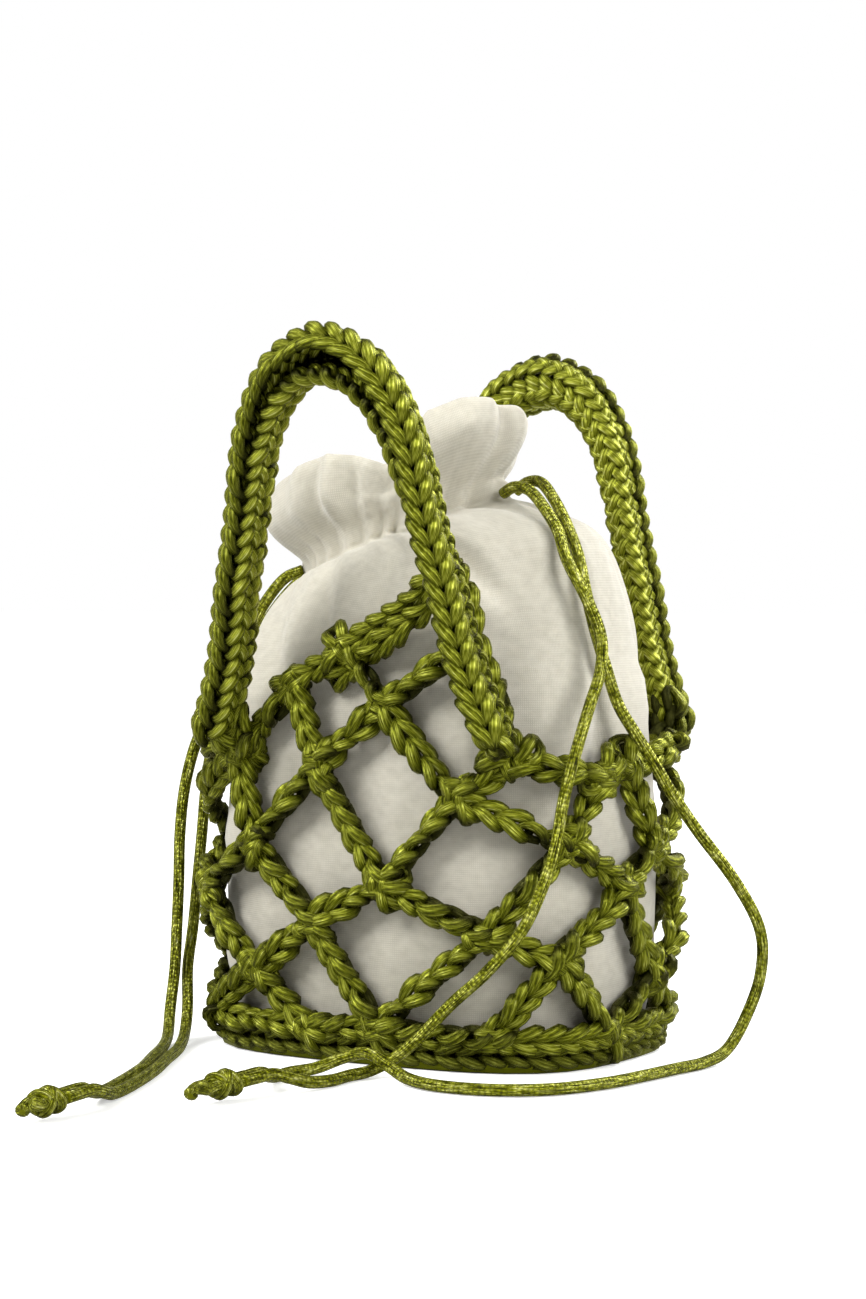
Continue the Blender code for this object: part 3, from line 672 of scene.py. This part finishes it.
LOOP_LOWEST = 0.02
LOOP_FROM_JOINT = 0.0046
LOOP_REACH = 0.0004
LOOP_SIZE = Vector((0.9, 0.9, 0.9))
wrap_guides = []
loop_guides = []
for half in (0, 1):
    for name in JOINTS:
        if name.startswith("leg"):
            continue
        spot = joint_place(name)
        if half:
            spot = half_turn(spot)
        out = outward(spot)
        level = UP.cross(out).normalized()
        first_lean = draw.uniform(0.0, math.pi)
        for turn in range(2):
            lean = first_lean + turn * draw.uniform(1.1, 1.9)
            way = level * math.cos(lean) + UP * math.sin(lean)
            middle = spot + out * (WRAP_RISE + WRAP_APART * turn)
            line = [
                middle - way * WRAP_REACH, middle + out * WRAP_RISE, middle + way * WRAP_REACH,
            ]
            wrap_guides.append((line, [out] * 3, [WRAP_SIZE] * 3))
        if draw.random() < LOOP_SHARE and spot.z > LOOP_LOWEST:
            lean = draw.uniform(0.0, math.tau)
            way = level * math.cos(lean) + UP * math.sin(lean)
            start = spot + way * LOOP_FROM_JOINT
            side = (out * 0.5 + way).normalized()
            line = [start - way * LOOP_REACH, start + way * LOOP_REACH]
            loop_guides.append((line, [side] * 2, [LOOP_SIZE] * 2))
joints = work("net_joints", wrap_guides, wrap, 0.0036, 0.25, 0.08, 11, crochet_satin)
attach(joints, "root")
bumps = work("net_small_loops", loop_guides, small_loop, 0.0060, 0.5, 0.1, 13, crochet_satin)
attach(bumps, "root")

# Handles: a band of close crochet, folded lengthwise to a U and bent to an arch. Its rows of
# stitches run along it; the right leg is sewn to the net and the left one ends at the rim.
HANDLE_TOP = 0.241
HANDLE_SPREAD = 0.110
HANDLE_FOOT = 0.1085
FOOT_OUT = 0.0598  # from the bag's middle to the feet
LEFT_FOOT_HIGHER = 0.045  # share of the rise
HANDLE_POINTS = 61  # on the middle line of the band
BAND_WALL = 0.004
FOLD_GAP = 0.011
BRAID_STITCH = 0.0065
CLOSE_STITCH = 0.0055
ROW_HEIGHT = 0.86
ARCH = (
    # rise, share of half the spread
    (0.00, 1.00), (0.12, 0.89), (0.24, 0.81), (0.37, 0.75), (0.49, 0.68), (0.62, 0.61),
    (0.76, 0.53), (0.87, 0.42), (0.96, 0.25), (1.00, 0.00),
)
FOLD = (
    # way along from the left foot, share of the gap
    (0.00, 0.40), (0.25, 0.30), (0.40, 0.60), (0.50, 1.00), (0.60, 0.60), (0.75, 0.10),
    (1.00, 0.12),
)
HANDLES = {
    # name: (half, sideways, share of the spread, lean in degrees)
    "handle_front": (0, 0.003, 1.00, 7.5),
    "handle_back": (1, -0.001, 1.05, 4.65),
}
# The rows of the band: wall (1 outer, -1 inner), share of the gap, off the wall's middle and
# towards the bag in millimetres, facing in degrees from outward to the bag, width, and whether it
# runs from the right foot. The open fold's outer lip is a braid, the other rows are close stitches.
BRAID_ROWS = (
    (1, 1.0, -1.5, -4.6, -46, 1.0, True),
)
CLOSE_ROWS = (
    (1, 1.0, -1.1, -0.4, 2, 1.0, False), (1, 1.0, -1.1, 3.2, 22, 1.0, True),
    (1, 0.60, -0.4, 4.8, 62, 1.0, False), (1, 0.0, -1.0, 5.2, 90, 1.0, True),
    (-1, 0.60, -0.4, 4.8, 118, 1.0, False), (-1, 1.0, -1.1, 3.2, 158, 1.0, True),
    (-1, 1.0, -1.1, -0.6, 180, 1.0, False), (-1, 1.0, -1.1, -4.3, 205, 1.0, True),
    (1, 1.0, -2.6, -1.8, 190, 0.8, False), (-1, 1.0, -2.6, -1.8, -10, 0.8, True),
    (1, 0.42, -0.2, 2.0, -90, 0.9, False), (-1, 0.28, -0.4, 5.0, 98, 1.0, True),
)
braid_stitch = stitch_shape(
    "braid_stitch",
    (
        (8.6, 4.0, -2.6), (7.4, 4.1, 0.0), (4.4, 3.1, 1.7), (1.2, 1.5, 1.5), (-1.8, 0.3, -0.8),
        (-2.4, 0.0, -1.4), (-1.8, -0.3, -0.8), (1.2, -1.5, 1.5), (4.4, -3.1, 1.7),
        (7.4, -4.1, 0.0), (8.6, -4.0, -2.6),
    ),
    ((0.0, 1.3), (0.12, 2.0), (0.25, 2.45), (0.38, 1.9), (0.5, 1.0), (0.62, 1.9), (0.75, 2.45),
     (0.88, 2.0), (1.0, 1.3)),
    8, 23,
)
close_stitches = [
    stitch_shape(
        f"close_stitch_{lean}",
        (
            (-0.7, -side * 1.7, -2.6), (0.2, -side * 1.3, 0.5), (2.2, 0.0, 1.35),
            (4.2, side * 1.3, 0.5), (5.0, side * 1.7, -2.6),
        ),
        ((0.0, 1.2), (0.25, 2.0), (0.5, 2.3), (0.75, 2.0), (1.0, 1.2)),
        8, 12,
    )
    for lean, side in (("left", 1), ("right", -1))
]


def handle_path(name):
    """The middle of the band from its left foot to its right one, and the way to the bag."""
    half, sideways, spread, lean = HANDLES[name]
    slope = math.radians(lean)
    rise = HANDLE_TOP - 0.5 * (BAND_WALL * 2.0 + FOLD_GAP) - HANDLE_FOOT
    spots = []
    for side, rows in ((-1, ARCH), (1, ARCH[-2::-1])):
        for share, _ in rows:
            height = max(share, LEFT_FOOT_HIGHER if side < 0 else 0.0) * rise
            x = sideways + side * 0.5 * HANDLE_SPREAD * spread * table(ARCH, height / rise)
            y = -FOOT_OUT - height * math.tan(slope)
            spots.append(Vector((x, y, HANDLE_FOOT + height)))
    inward = Vector((0.0, math.cos(slope), math.sin(slope)))
    if half:
        spots = [half_turn(spot) for spot in spots]
        inward = half_turn(inward)
    return along(smooth_line(spots), HANDLE_POINTS), inward


def band_guides(path, inward, rows):
    """Lines on the folded band for its rows of stitches."""
    guides = []
    for wall, share, off, deep, facing, wide, turned in rows:
        line = []
        ways = []
        for step, middle in enumerate(path):
            before = path[max(step - 1, 0)]
            after = path[min(step + 1, len(path) - 1)]
            way = (after - before).normalized()
            out = way.cross(inward).normalized()
            gap = 0.5 * FOLD_GAP * table(FOLD, step / (len(path) - 1))
            across = wall * (gap * share + 0.5 * BAND_WALL * (0.5 + 0.5 * share) + off * 0.001)
            line.append(middle + out * across + inward * deep * 0.001)
            angle = math.radians(facing)
            ways.append(out * math.cos(angle) + inward * math.sin(angle))
        if turned:
            line.reverse()
            ways.reverse()
        guides.append((line, ways, [Vector((1.0, wide, ROW_HEIGHT))] * len(line)))
    return guides


for name in HANDLES:
    path, inward = handle_path(name)
    braid = work(
        f"{name}_braid", band_guides(path, inward, BRAID_ROWS), braid_stitch, BRAID_STITCH,
        0.10, 0.07, 5, crochet_satin,
    )
    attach(braid, "root")
    for part, (rows, stitch) in enumerate(zip((CLOSE_ROWS[::2], CLOSE_ROWS[1::2]), close_stitches)):
        band = work(
            f"{name}_band_{part + 1}", band_guides(path, inward, rows), stitch, CLOSE_STITCH,
            0.2, 0.10, 6 + part, crochet_satin,
        )
        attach(band, "root")
        if part == 0:
            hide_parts(name)

# Feet of the handles: each free foot is sewn down to the net's rim with a few short chains,
# crocheted from the same cord as the net.
RIM_LOW = 0.100
RIM_HIGH = 0.105
FOOT_CHAINS = (
    # where each chain starts on the foot: sideways, towards the bag
    (-0.0055, 0.004), (0.0, 0.005), (0.0055, 0.004), (0.003, -0.002),
)
FOOT_DROP = 0.004
FOOT_STITCH = 0.0058
FOOT_POINTS = 9
FOOT_SIZE = Vector((0.95, 0.95, 0.95))
rim = [spot for line, _, _ in net_guides for spot in line if RIM_LOW < spot.z < RIM_HIGH]
foot_guides = []
for name in HANDLES:
    path, inward = handle_path(name)
    across = (path[1] - path[0]).cross(inward).normalized()
    for aside, deep in FOOT_CHAINS:
        start = path[1] + across * aside + inward * deep
        below = path[0] + across * aside + inward * deep - UP * FOOT_DROP
        sewn = min(rim, key=lambda spot: (spot - below).length)
        line = along(smooth_line([start, below, sewn]), FOOT_POINTS)
        foot_guides.append((line, [-inward] * FOOT_POINTS, [FOOT_SIZE] * FOOT_POINTS))
feet = work("handle_feet", foot_guides, chain_stitch, FOOT_STITCH, 0.6, 0.12, 17, crochet_satin)
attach(feet, "root")

# Base: close rounds of the same crochet, flat below, from the edge to the middle. The net's
# lowest chains are worked into its last round.
BASE_LENGTH = 0.1482
BASE_DEPTH = 0.1084
BASE_SQUARENESS = 3.2
BASE_STITCH = 0.0074
BASE_POINTS = 121  # on each round's guide line
EDGE_INSET = 0.0018
SECOND_INSET = 0.0035  # more than the edge, where the base turns flat
ROUND_APART = 0.0082
LEAST_DEPTH = 0.006
EDGE_RISE = 0.0060
FLAT_RISE = 0.0038
EDGE_SIZE = Vector((1.0, 0.78, 0.9))
FLAT_SIZE = Vector((1.0, 1.0, 0.62))
BASE_PAINTED_SHADE = 0.5  # share of the net's greens: painted shade, a darker satin for the base, which stands in its own shade


def oval(length, depth, squareness, count):
    """Points evenly spaced along a rounded rectangle, closed."""
    outline = []
    fine = 1440
    for step in range(fine + 1):
        angle = math.tau * step / fine
        cosine = math.cos(angle)
        sine = math.sin(angle)
        power = 2.0 / squareness
        outline.append(Vector((
            0.5 * length * math.copysign(abs(cosine) ** power, cosine),
            0.5 * depth * math.copysign(abs(sine) ** power, sine),
            0.0,
        )))
    return along(outline, count)


rounds = []
for step in range(8):
    inset = EDGE_INSET + ROUND_APART * max(step - 1, 0)
    if step:
        inset += SECOND_INSET
    depth = BASE_DEPTH - 2.0 * inset
    if depth < LEAST_DEPTH:
        break
    line = oval(BASE_LENGTH - 2.0 * inset, depth, BASE_SQUARENESS, BASE_POINTS)
    rise = UP * (FLAT_RISE if step else EDGE_RISE)
    ways = [-UP if step else spot.normalized() for spot in line]
    size = FLAT_SIZE if step else EDGE_SIZE
    rounds.append(([spot + rise for spot in line], ways, [size] * len(line)))
# The base's satin is a darker copy of the net's: painted shade for the base, which stands in shade
# below the net.
base_painted_shade_satin = satin(
    "base_painted_shade_crochet_satin",
    [tuple(BASE_PAINTED_SHADE * part for part in shade) for shade in SATIN_GREENS_PAINTED_SHADE_AND_SHEEN], 0.6, painted_hollow_shade=True,
)
base = work("base_rounds", rounds, braid_stitch, BASE_STITCH, 0.22, 0.13, 9, base_painted_shade_satin)
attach(base, "root")
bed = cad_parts["net_base"]
bed.data.materials.clear()
# The base's solid takes only the satin's dark and middle greens: painted shade between fibres,
# without the painted sheen.
bed.data.materials.append(satin("base_satin", SATIN_GREENS_PAINTED_SHADE_AND_SHEEN[:2] * 2, 0.3))

# Pouch: unbleached linen in plain weave, sewn to a flat bottomed bag, drawn together by the
# cords in a casing below its ruffle. Folds run down from the casing and fade over what it holds.
POUCH_RINGS = (
    # height of the ring's middle, length, depth, squareness, middle's x, tilt, gathers, folds
    (0.0056, 0.030, 0.020, 2.2, 0.000, 0.00, 0.0, 0.0),
    (0.0056, 0.110, 0.076, 2.8, 0.000, 0.00, 0.0, 0.0),
    (0.0065, 0.130, 0.090, 3.1, 0.000, 0.00, 0.0, 0.0),
    (0.0125, 0.1372, 0.0973, 3.2, 0.000, 0.00, 0.0, 0.1),
    (0.033, 0.1430, 0.1014, 3.2, 0.000, 0.00, 0.0, 0.3),
    (0.055, 0.1440, 0.1022, 3.2, 0.000, 0.00, 0.0, 0.4),
    (0.078, 0.1442, 0.1022, 3.2, 0.000, 0.00, 0.0, 0.5),
    (0.106, 0.1415, 0.0993, 3.1, 0.000, 0.00, 0.0, 0.6),
    (0.134, 0.1350, 0.0915, 3.0, 0.001, 0.04, 0.05, 0.8),
    (0.152, 0.1270, 0.0835, 2.8, 0.001, 0.10, 0.15, 1.0),
    (0.166, 0.1130, 0.0725, 2.5, 0.000, 0.18, 0.35, 1.0),
    (0.174, 0.0900, 0.0590, 2.2, -0.008, 0.28, 0.7, 0.8),
    (0.178, 0.0740, 0.0440, 2.0, -0.016, 0.36, 1.0, 0.5),
    (0.181, 0.0720, 0.0425, 2.0, -0.016, 0.36, 1.0, 0.4),
    (0.1855, 0.0755, 0.0445, 2.0, -0.016, 0.36, 0.8, 0.4),
    (0.1890, 0.0820, 0.0490, 2.0, -0.016, 0.35, 0.65, 0.6),
    (0.1930, 0.0890, 0.0540, 2.0, -0.016, 0.34, 0.5, 0.8),
    (0.1980, 0.0935, 0.0570, 2.0, -0.016, 0.33, 0.35, 1.0),
    (0.2035, 0.0955, 0.0585, 2.0, -0.016, 0.31, 0.2, 1.0),
    (0.2075, 0.0950, 0.0580, 2.0, -0.016, 0.30, 0.15, 1.0),
    (0.2095, 0.0920, 0.0550, 2.0, -0.016, 0.30, 0.1, 1.0),
    (0.2085, 0.0880, 0.0505, 2.0, -0.016, 0.30, 0.1, 1.0),
)
POUCH_AROUND = 288
POUCH_UP = 130
LINEN_DARK = (0.44, 0.412, 0.335, 1.0)
LINEN_LIGHT = (0.60, 0.57, 0.48, 1.0)
WEAVE_SHARE = 0.6  # how much the threads show beside the thick and thin places


def linen(name):
    """Plain weave: threads 0.7 mm apart both ways, thick and thin places, soft shade changes."""
    material, tree, shader = new_paint(
        name, Roughness=0.85, Sheen_Weight=0.3, Sheen_Roughness=0.5, Subsurface_Weight=0.08,
        Subsurface_Radius=(0.004, 0.003, 0.002), Subsurface_Scale=0.3,
    )
    place = node(tree, "ShaderNodeUVMap", {"uv_map": "cloth"}).outputs["UV"]
    threads = []
    for direction in ("X", "Y"):
        wave = node(
            tree, "ShaderNodeTexWave",
            {"wave_type": "BANDS", "bands_direction": direction, "wave_profile": "SIN"},
            Vector=place, Scale=0.45, Distortion=0.5, Detail=1.0, Detail_Scale=0.4,
        )
        threads.append(wave.outputs["Fac"])
    weave = maths(tree, "MULTIPLY", *threads)
    slubs = node(tree, "ShaderNodeMapping", Vector=place, Scale=(0.25, 0.35, 1.0))
    slub = node(tree, "ShaderNodeTexNoise", Vector=slubs.outputs["Vector"], Scale=1.0, Detail=3.0)
    soft_weave = maths(tree, "MULTIPLY", weave, WEAVE_SHARE)
    total = maths(tree, "ADD", soft_weave, slub.outputs["Fac"])
    ramp = node(tree, "ShaderNodeValToRGB", Fac=total)
    for stop, place, colour in zip(ramp.color_ramp.elements, (0.2, 1.0), (LINEN_DARK, LINEN_LIGHT)):
        stop.position = place
        stop.color = colour
    tree.links.new(ramp.outputs["Color"], shader.inputs["Base Color"])
    bump = node(tree, "ShaderNodeBump", Height=total, Strength=0.4, Distance=0.0003)
    tree.links.new(bump.outputs["Normal"], shader.inputs["Normal"])
    return material


def ring_at(rise):
    """The pouch's ring at a share of the way up its cloth, smooth between the table's rows."""
    at = rise * (len(POUCH_RINGS) - 1)
    low = min(int(at), len(POUCH_RINGS) - 2)
    rows = [POUCH_RINGS[min(max(low + k, 0), len(POUCH_RINGS) - 1)] for k in (-1, 0, 1, 2)]
    return [between(*four, at - low) for four in zip(*rows)]


PUFFS = (
    # where round the pouch, in turns; width in turns; depth in millimetres
    (0.80, 0.030, -5.5), (0.740, 0.018, -3.4), (0.685, 0.020, -2.8), (0.875, 0.024, -3.0),
    (0.62, 0.018, -1.8), (0.958, 0.013, -4.0),
    (0.04, 0.030, -4.0), (0.13, 0.020, -3.0), (0.22, 0.030, -3.5), (0.31, 0.020, -3.0),
    (0.40, 0.030, -4.0), (0.47, 0.014, -2.0), (0.91, 0.050, 3.2), (0.66, 0.070, 3.0),
    (0.56, 0.050, 2.8), (0.17, 0.030, 2.5), (0.27, 0.030, 2.5), (0.36, 0.030, 2.5),
    (0.97, 0.040, 4.0),
)
LOBES = (
    # where the ruffle puffs out over the casing: in turns and millimetres up; size in turns and
    # millimetres; how far it stands out in millimetres
    (0.895, 199, 0.045, 8, 6.5), (0.99, 201, 0.020, 9, 2.5), (0.60, 198, 0.050, 8, 3.0),
    (0.705, 196, 0.018, 8, 3.0),
)
HEM = (
    # round the ruffle's top edge, in turns: how far it stands up or hangs, in millimetres
    (0.0, -3.5), (0.08, -2.5), (0.20, 0.0), (0.28, 2.0), (0.35, -1.0), (0.42, 1.0), (0.50, 0.0),
    (0.58, 0.5), (0.65, 2.0), (0.70, 2.0), (0.75, -3.0), (0.79, -8.0), (0.82, -5.0), (0.86, 4.5),
    (0.90, 5.0), (0.94, 2.5), (0.97, -0.5), (1.0, -3.5),
)
CASING_ENDS = (
    # where the cords come out of the casing: in turns, millimetres up, how far it stands out
    (0.0, 180.5, 8.5), (0.5, 182.5, 6.0),
)
GATHERS = 23
DENTS = (
    # where, in turns and millimetres up; size in turns and millimetres; lean; depth in millimetres
    (0.89, 150, 0.030, 30, 0.0006, -2.0), (0.935, 130, 0.018, 50, 0.0004, -2.8),
    (0.845, 163, 0.012, 14, -0.0025, -7.5), (0.76, 150, 0.018, 26, 0.0004, -3.0),
    (0.69, 146, 0.014, 30, -0.0008, -3.0), (0.63, 140, 0.020, 30, -0.0012, -3.2),
    (0.56, 132, 0.014, 26, -0.0006, -2.6), (0.965, 120, 0.012, 50, 0.0, -2.6),
    (0.06, 140, 0.016, 30, -0.0008, -3.0), (0.14, 146, 0.020, 30, 0.0010, -3.4),
    (0.22, 150, 0.016, 30, 0.0006, -3.0), (0.31, 146, 0.020, 30, -0.0008, -3.2),
    (0.40, 140, 0.016, 30, 0.0010, -3.0), (0.48, 132, 0.014, 34, 0.0, -2.4),
    (0.86, 100, 0.030, 12, 0.0040, -1.4), (0.74, 84, 0.030, 12, -0.0040, -1.4),
    (0.66, 60, 0.030, 14, 0.0030, -1.2), (0.95, 70, 0.020, 30, 0.0010, -1.4),
)
CASING_END_WIDE = 0.022
CASING_END_TALL = 4.5
RUFFLE_FOOT = 0.184  # where the ruffle starts
RUFFLE_GROWS = 0.012  # it is fully open this much higher
HEM_GROWS = 0.024
BULGE_FROM = 0.008  # from the nearest chain
BULGE_WITHIN = 0.009
BULGE_BY = 0.0013
BULGE_LOW = 0.010
BULGE_HIGH = 0.125
CLOTH_AROUND = 430.0  # millimetres of cloth round the pouch
CLOTH_THICK = 0.0008


def shorter_way(turns):
    """A distance round the pouch, in turns, taken the shorter way."""
    return (turns + 0.5) % 1.0 - 0.5


def mound(apart, width, off=0.0, tall=1.0):
    """A soft swelling: 1 in its middle and next to nothing at twice its size."""
    return math.exp(-(apart / width) ** 2 - (off / tall) ** 2)


def share_between(value, start, span):
    """How much of the span the value has covered, from 0 to 1."""
    return min(max((value - start) / span, 0.0), 1.0)


shape = bmesh.new()
cloth_map = shape.loops.layers.uv.new("cloth")
chains_near = kdtree.KDTree(sum(len(line) for line, _, _ in net_guides))
for step, spot in enumerate(spot for line, _, _ in net_guides for spot in line):
    chains_near.insert(spot, step)
chains_near.balance()
rows = []
for level in range(POUCH_UP):
    rise = level / (POUCH_UP - 1)
    height, length, depth, squareness, middle, tilt, gathers, folds = ring_at(rise)
    outline = oval(length, depth, max(squareness, 2.0), POUCH_AROUND + 1)[:-1]
    ruffle = min(share_between(height, RUFFLE_FOOT, RUFFLE_GROWS), 0.98)
    row = []
    for step, spot in enumerate(outline):
        turn = step / POUCH_AROUND
        puff = 0.0
        for place, width, deep in PUFFS:
            puff += deep * mound(shorter_way(turn - place), width)
        dent = 0.0
        for place, up, width, tall, lean, deep in DENTS:
            off = height * 1000.0 - up
            dent += deep * mound(shorter_way(turn - place - lean * off), width, off, tall)
        for place, up, out_by in CASING_ENDS:
            end = mound(
                shorter_way(turn - place), CASING_END_WIDE, height * 1000.0 - up, CASING_END_TALL
            )
            dent += out_by * end / max(1.0 - ruffle, 0.2)
        for place, up, width, tall, out_by in LOBES:
            lobe = mound(shorter_way(turn - place), width, height * 1000.0 - up, tall)
            puff += out_by * lobe / max(folds * ruffle, 0.3)
        drawn = 0.9 * math.sin(math.tau * GATHERS * turn + 1.3 * math.sin(math.tau * 5 * turn))
        soft = noise.noise(Vector((spot.x, spot.y, height)) * 38.0) * 1.3
        soft += noise.noise(Vector((spot.x, spot.y, height * 0.5)) * 120.0) * 0.4
        out = spot.normalized()
        wave = puff * folds * ruffle + dent * (1.0 - ruffle)
        wave += drawn * gathers + soft * min(folds, 0.8)
        at = spot + out * wave * 0.001
        x = at.x + middle
        lift = table(HEM, turn) * 0.001 * share_between(height, RUFFLE_FOOT, HEM_GROWS)
        place = Vector((x, at.y, height + tilt * x + lift))
        bulge = share_between(chains_near.find(place)[2], BULGE_FROM, BULGE_WITHIN)
        if BULGE_LOW < height < BULGE_HIGH:
            place += out * BULGE_BY * bulge * bulge * (3.0 - 2.0 * bulge)
        row.append(shape.verts.new(place))
    rows.append(row)
rise_run = [0.0]
front_step = round(0.75 * POUCH_AROUND)
for row, following in zip(rows, rows[1:]):
    rise_run.append(rise_run[-1] + (following[front_step].co - row[front_step].co).length * 1000.0)
for level, (row, following) in enumerate(zip(rows, rows[1:])):
    for step in range(POUCH_AROUND):
        beside = (step + 1) % POUCH_AROUND
        face = shape.faces.new((row[step], row[beside], following[beside], following[step]))
        face.smooth = True
        corners = ((step, level), (step + 1, level), (step + 1, level + 1), (step, level + 1))
        for loop, (across, up) in zip(face.loops, corners):
            loop[cloth_map].uv = (across * CLOTH_AROUND / POUCH_AROUND, rise_run[up])
shape.faces.new(rows[0][::-1]).smooth = True
pouch = add_piece("pouch_linen_bag", shape, linen("linen"))
wall = pouch.modifiers.new("wall", "SOLIDIFY")
wall.thickness = CLOTH_THICK
wall.offset = -1.0
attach(pouch, "root")
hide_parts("pouch")

# Studio: a wide white floor under a white sky that the camera sees, with softer light from all
# round, and soft white lamps from above, from the front left, the right and behind.
FLOOR_REACH = 30.0
FLOOR_GLOW = 0.45
FLOOR_BOUNCE = 0.5  # light the floor throws back at the bag
SKY_LIGHT = 0.33
SUN_STRENGTH = 1.15
SUN_WIDTH = math.radians(60.0)
SUN_TILT = (math.radians(24.0), math.radians(-22.0), 0.0)
LAMPS = (
    # name, place, size, watts
    ("key_light", (-0.75, -1.05, 1.1), 0.9, 24.0), ("right_light", (1.2, -0.3, 0.7), 0.9, 15.0),
    ("back_light", (0.4, 1.2, 0.9), 0.8, 20.0),
)
LAMPS_AIM = Vector((0.0, 0.0, 0.12))
WHITE = (1.0, 1.0, 1.0, 1.0)


def seen_apart(tree, seen, lit, end):
    """Show one shader to the camera and light the bag with the other."""
    rays = node(tree, "ShaderNodeLightPath")
    either = node(tree, "ShaderNodeMixShader")
    for source, target in (
        (rays.outputs["Is Camera Ray"], either.inputs[0]), (lit.outputs[0], either.inputs[1]),
        (seen.outputs[0], either.inputs[2]), (either.outputs[0], tree.nodes[end].inputs["Surface"]),
    ):
        tree.links.new(source, target)


shape = bmesh.new()
shape.faces.new([
    shape.verts.new((x * FLOOR_REACH, y * FLOOR_REACH, 0.0))
    for x, y in ((-1, -1), (1, -1), (1, 1), (-1, 1))
])
white, paint, seen = new_paint(
    "studio_white", Base_Color=(0.93, 0.93, 0.93, 1.0), Roughness=0.9, Emission_Color=WHITE,
    Emission_Strength=FLOOR_GLOW,
)
bounced = node(paint, "ShaderNodeBsdfDiffuse", Color=(FLOOR_BOUNCE,) * 3 + (1.0,))
seen_apart(paint, seen, bounced, "Material Output")
floor = add_piece("studio_floor", shape, white)
world = bpy.data.worlds.new("studio")
world.use_nodes = True
sky = world.node_tree
seen = node(sky, "ShaderNodeBackground", Color=WHITE, Strength=1.0)
lit = sky.nodes["Background"]
lit.inputs["Color"].default_value = WHITE
lit.inputs["Strength"].default_value = SKY_LIGHT
seen_apart(sky, seen, lit, "World Output")
bpy.context.scene.world = world
sun = bpy.data.lights.new("even_light", "SUN")
sun.energy = SUN_STRENGTH
sun.angle = SUN_WIDTH
even = bpy.data.objects.new("even_light", sun)
even.rotation_euler = SUN_TILT
bpy.context.scene.collection.objects.link(even)
for name, place, size, watts in LAMPS:
    lamp = bpy.data.lights.new(name, "AREA")
    lamp.shape = "DISK"
    lamp.size = size
    lamp.energy = watts
    light = bpy.data.objects.new(name, lamp)
    light.location = place
    aim = LAMPS_AIM - light.location
    light.rotation_euler = aim.to_track_quat("-Z", "Y").to_euler()
    bpy.context.scene.collection.objects.link(light)
bpy.context.scene.view_settings.view_transform = "Standard"
for stitch in (chain_stitch, wrap, small_loop, braid_stitch, *close_stitches):
    bpy.data.objects.remove(stitch)
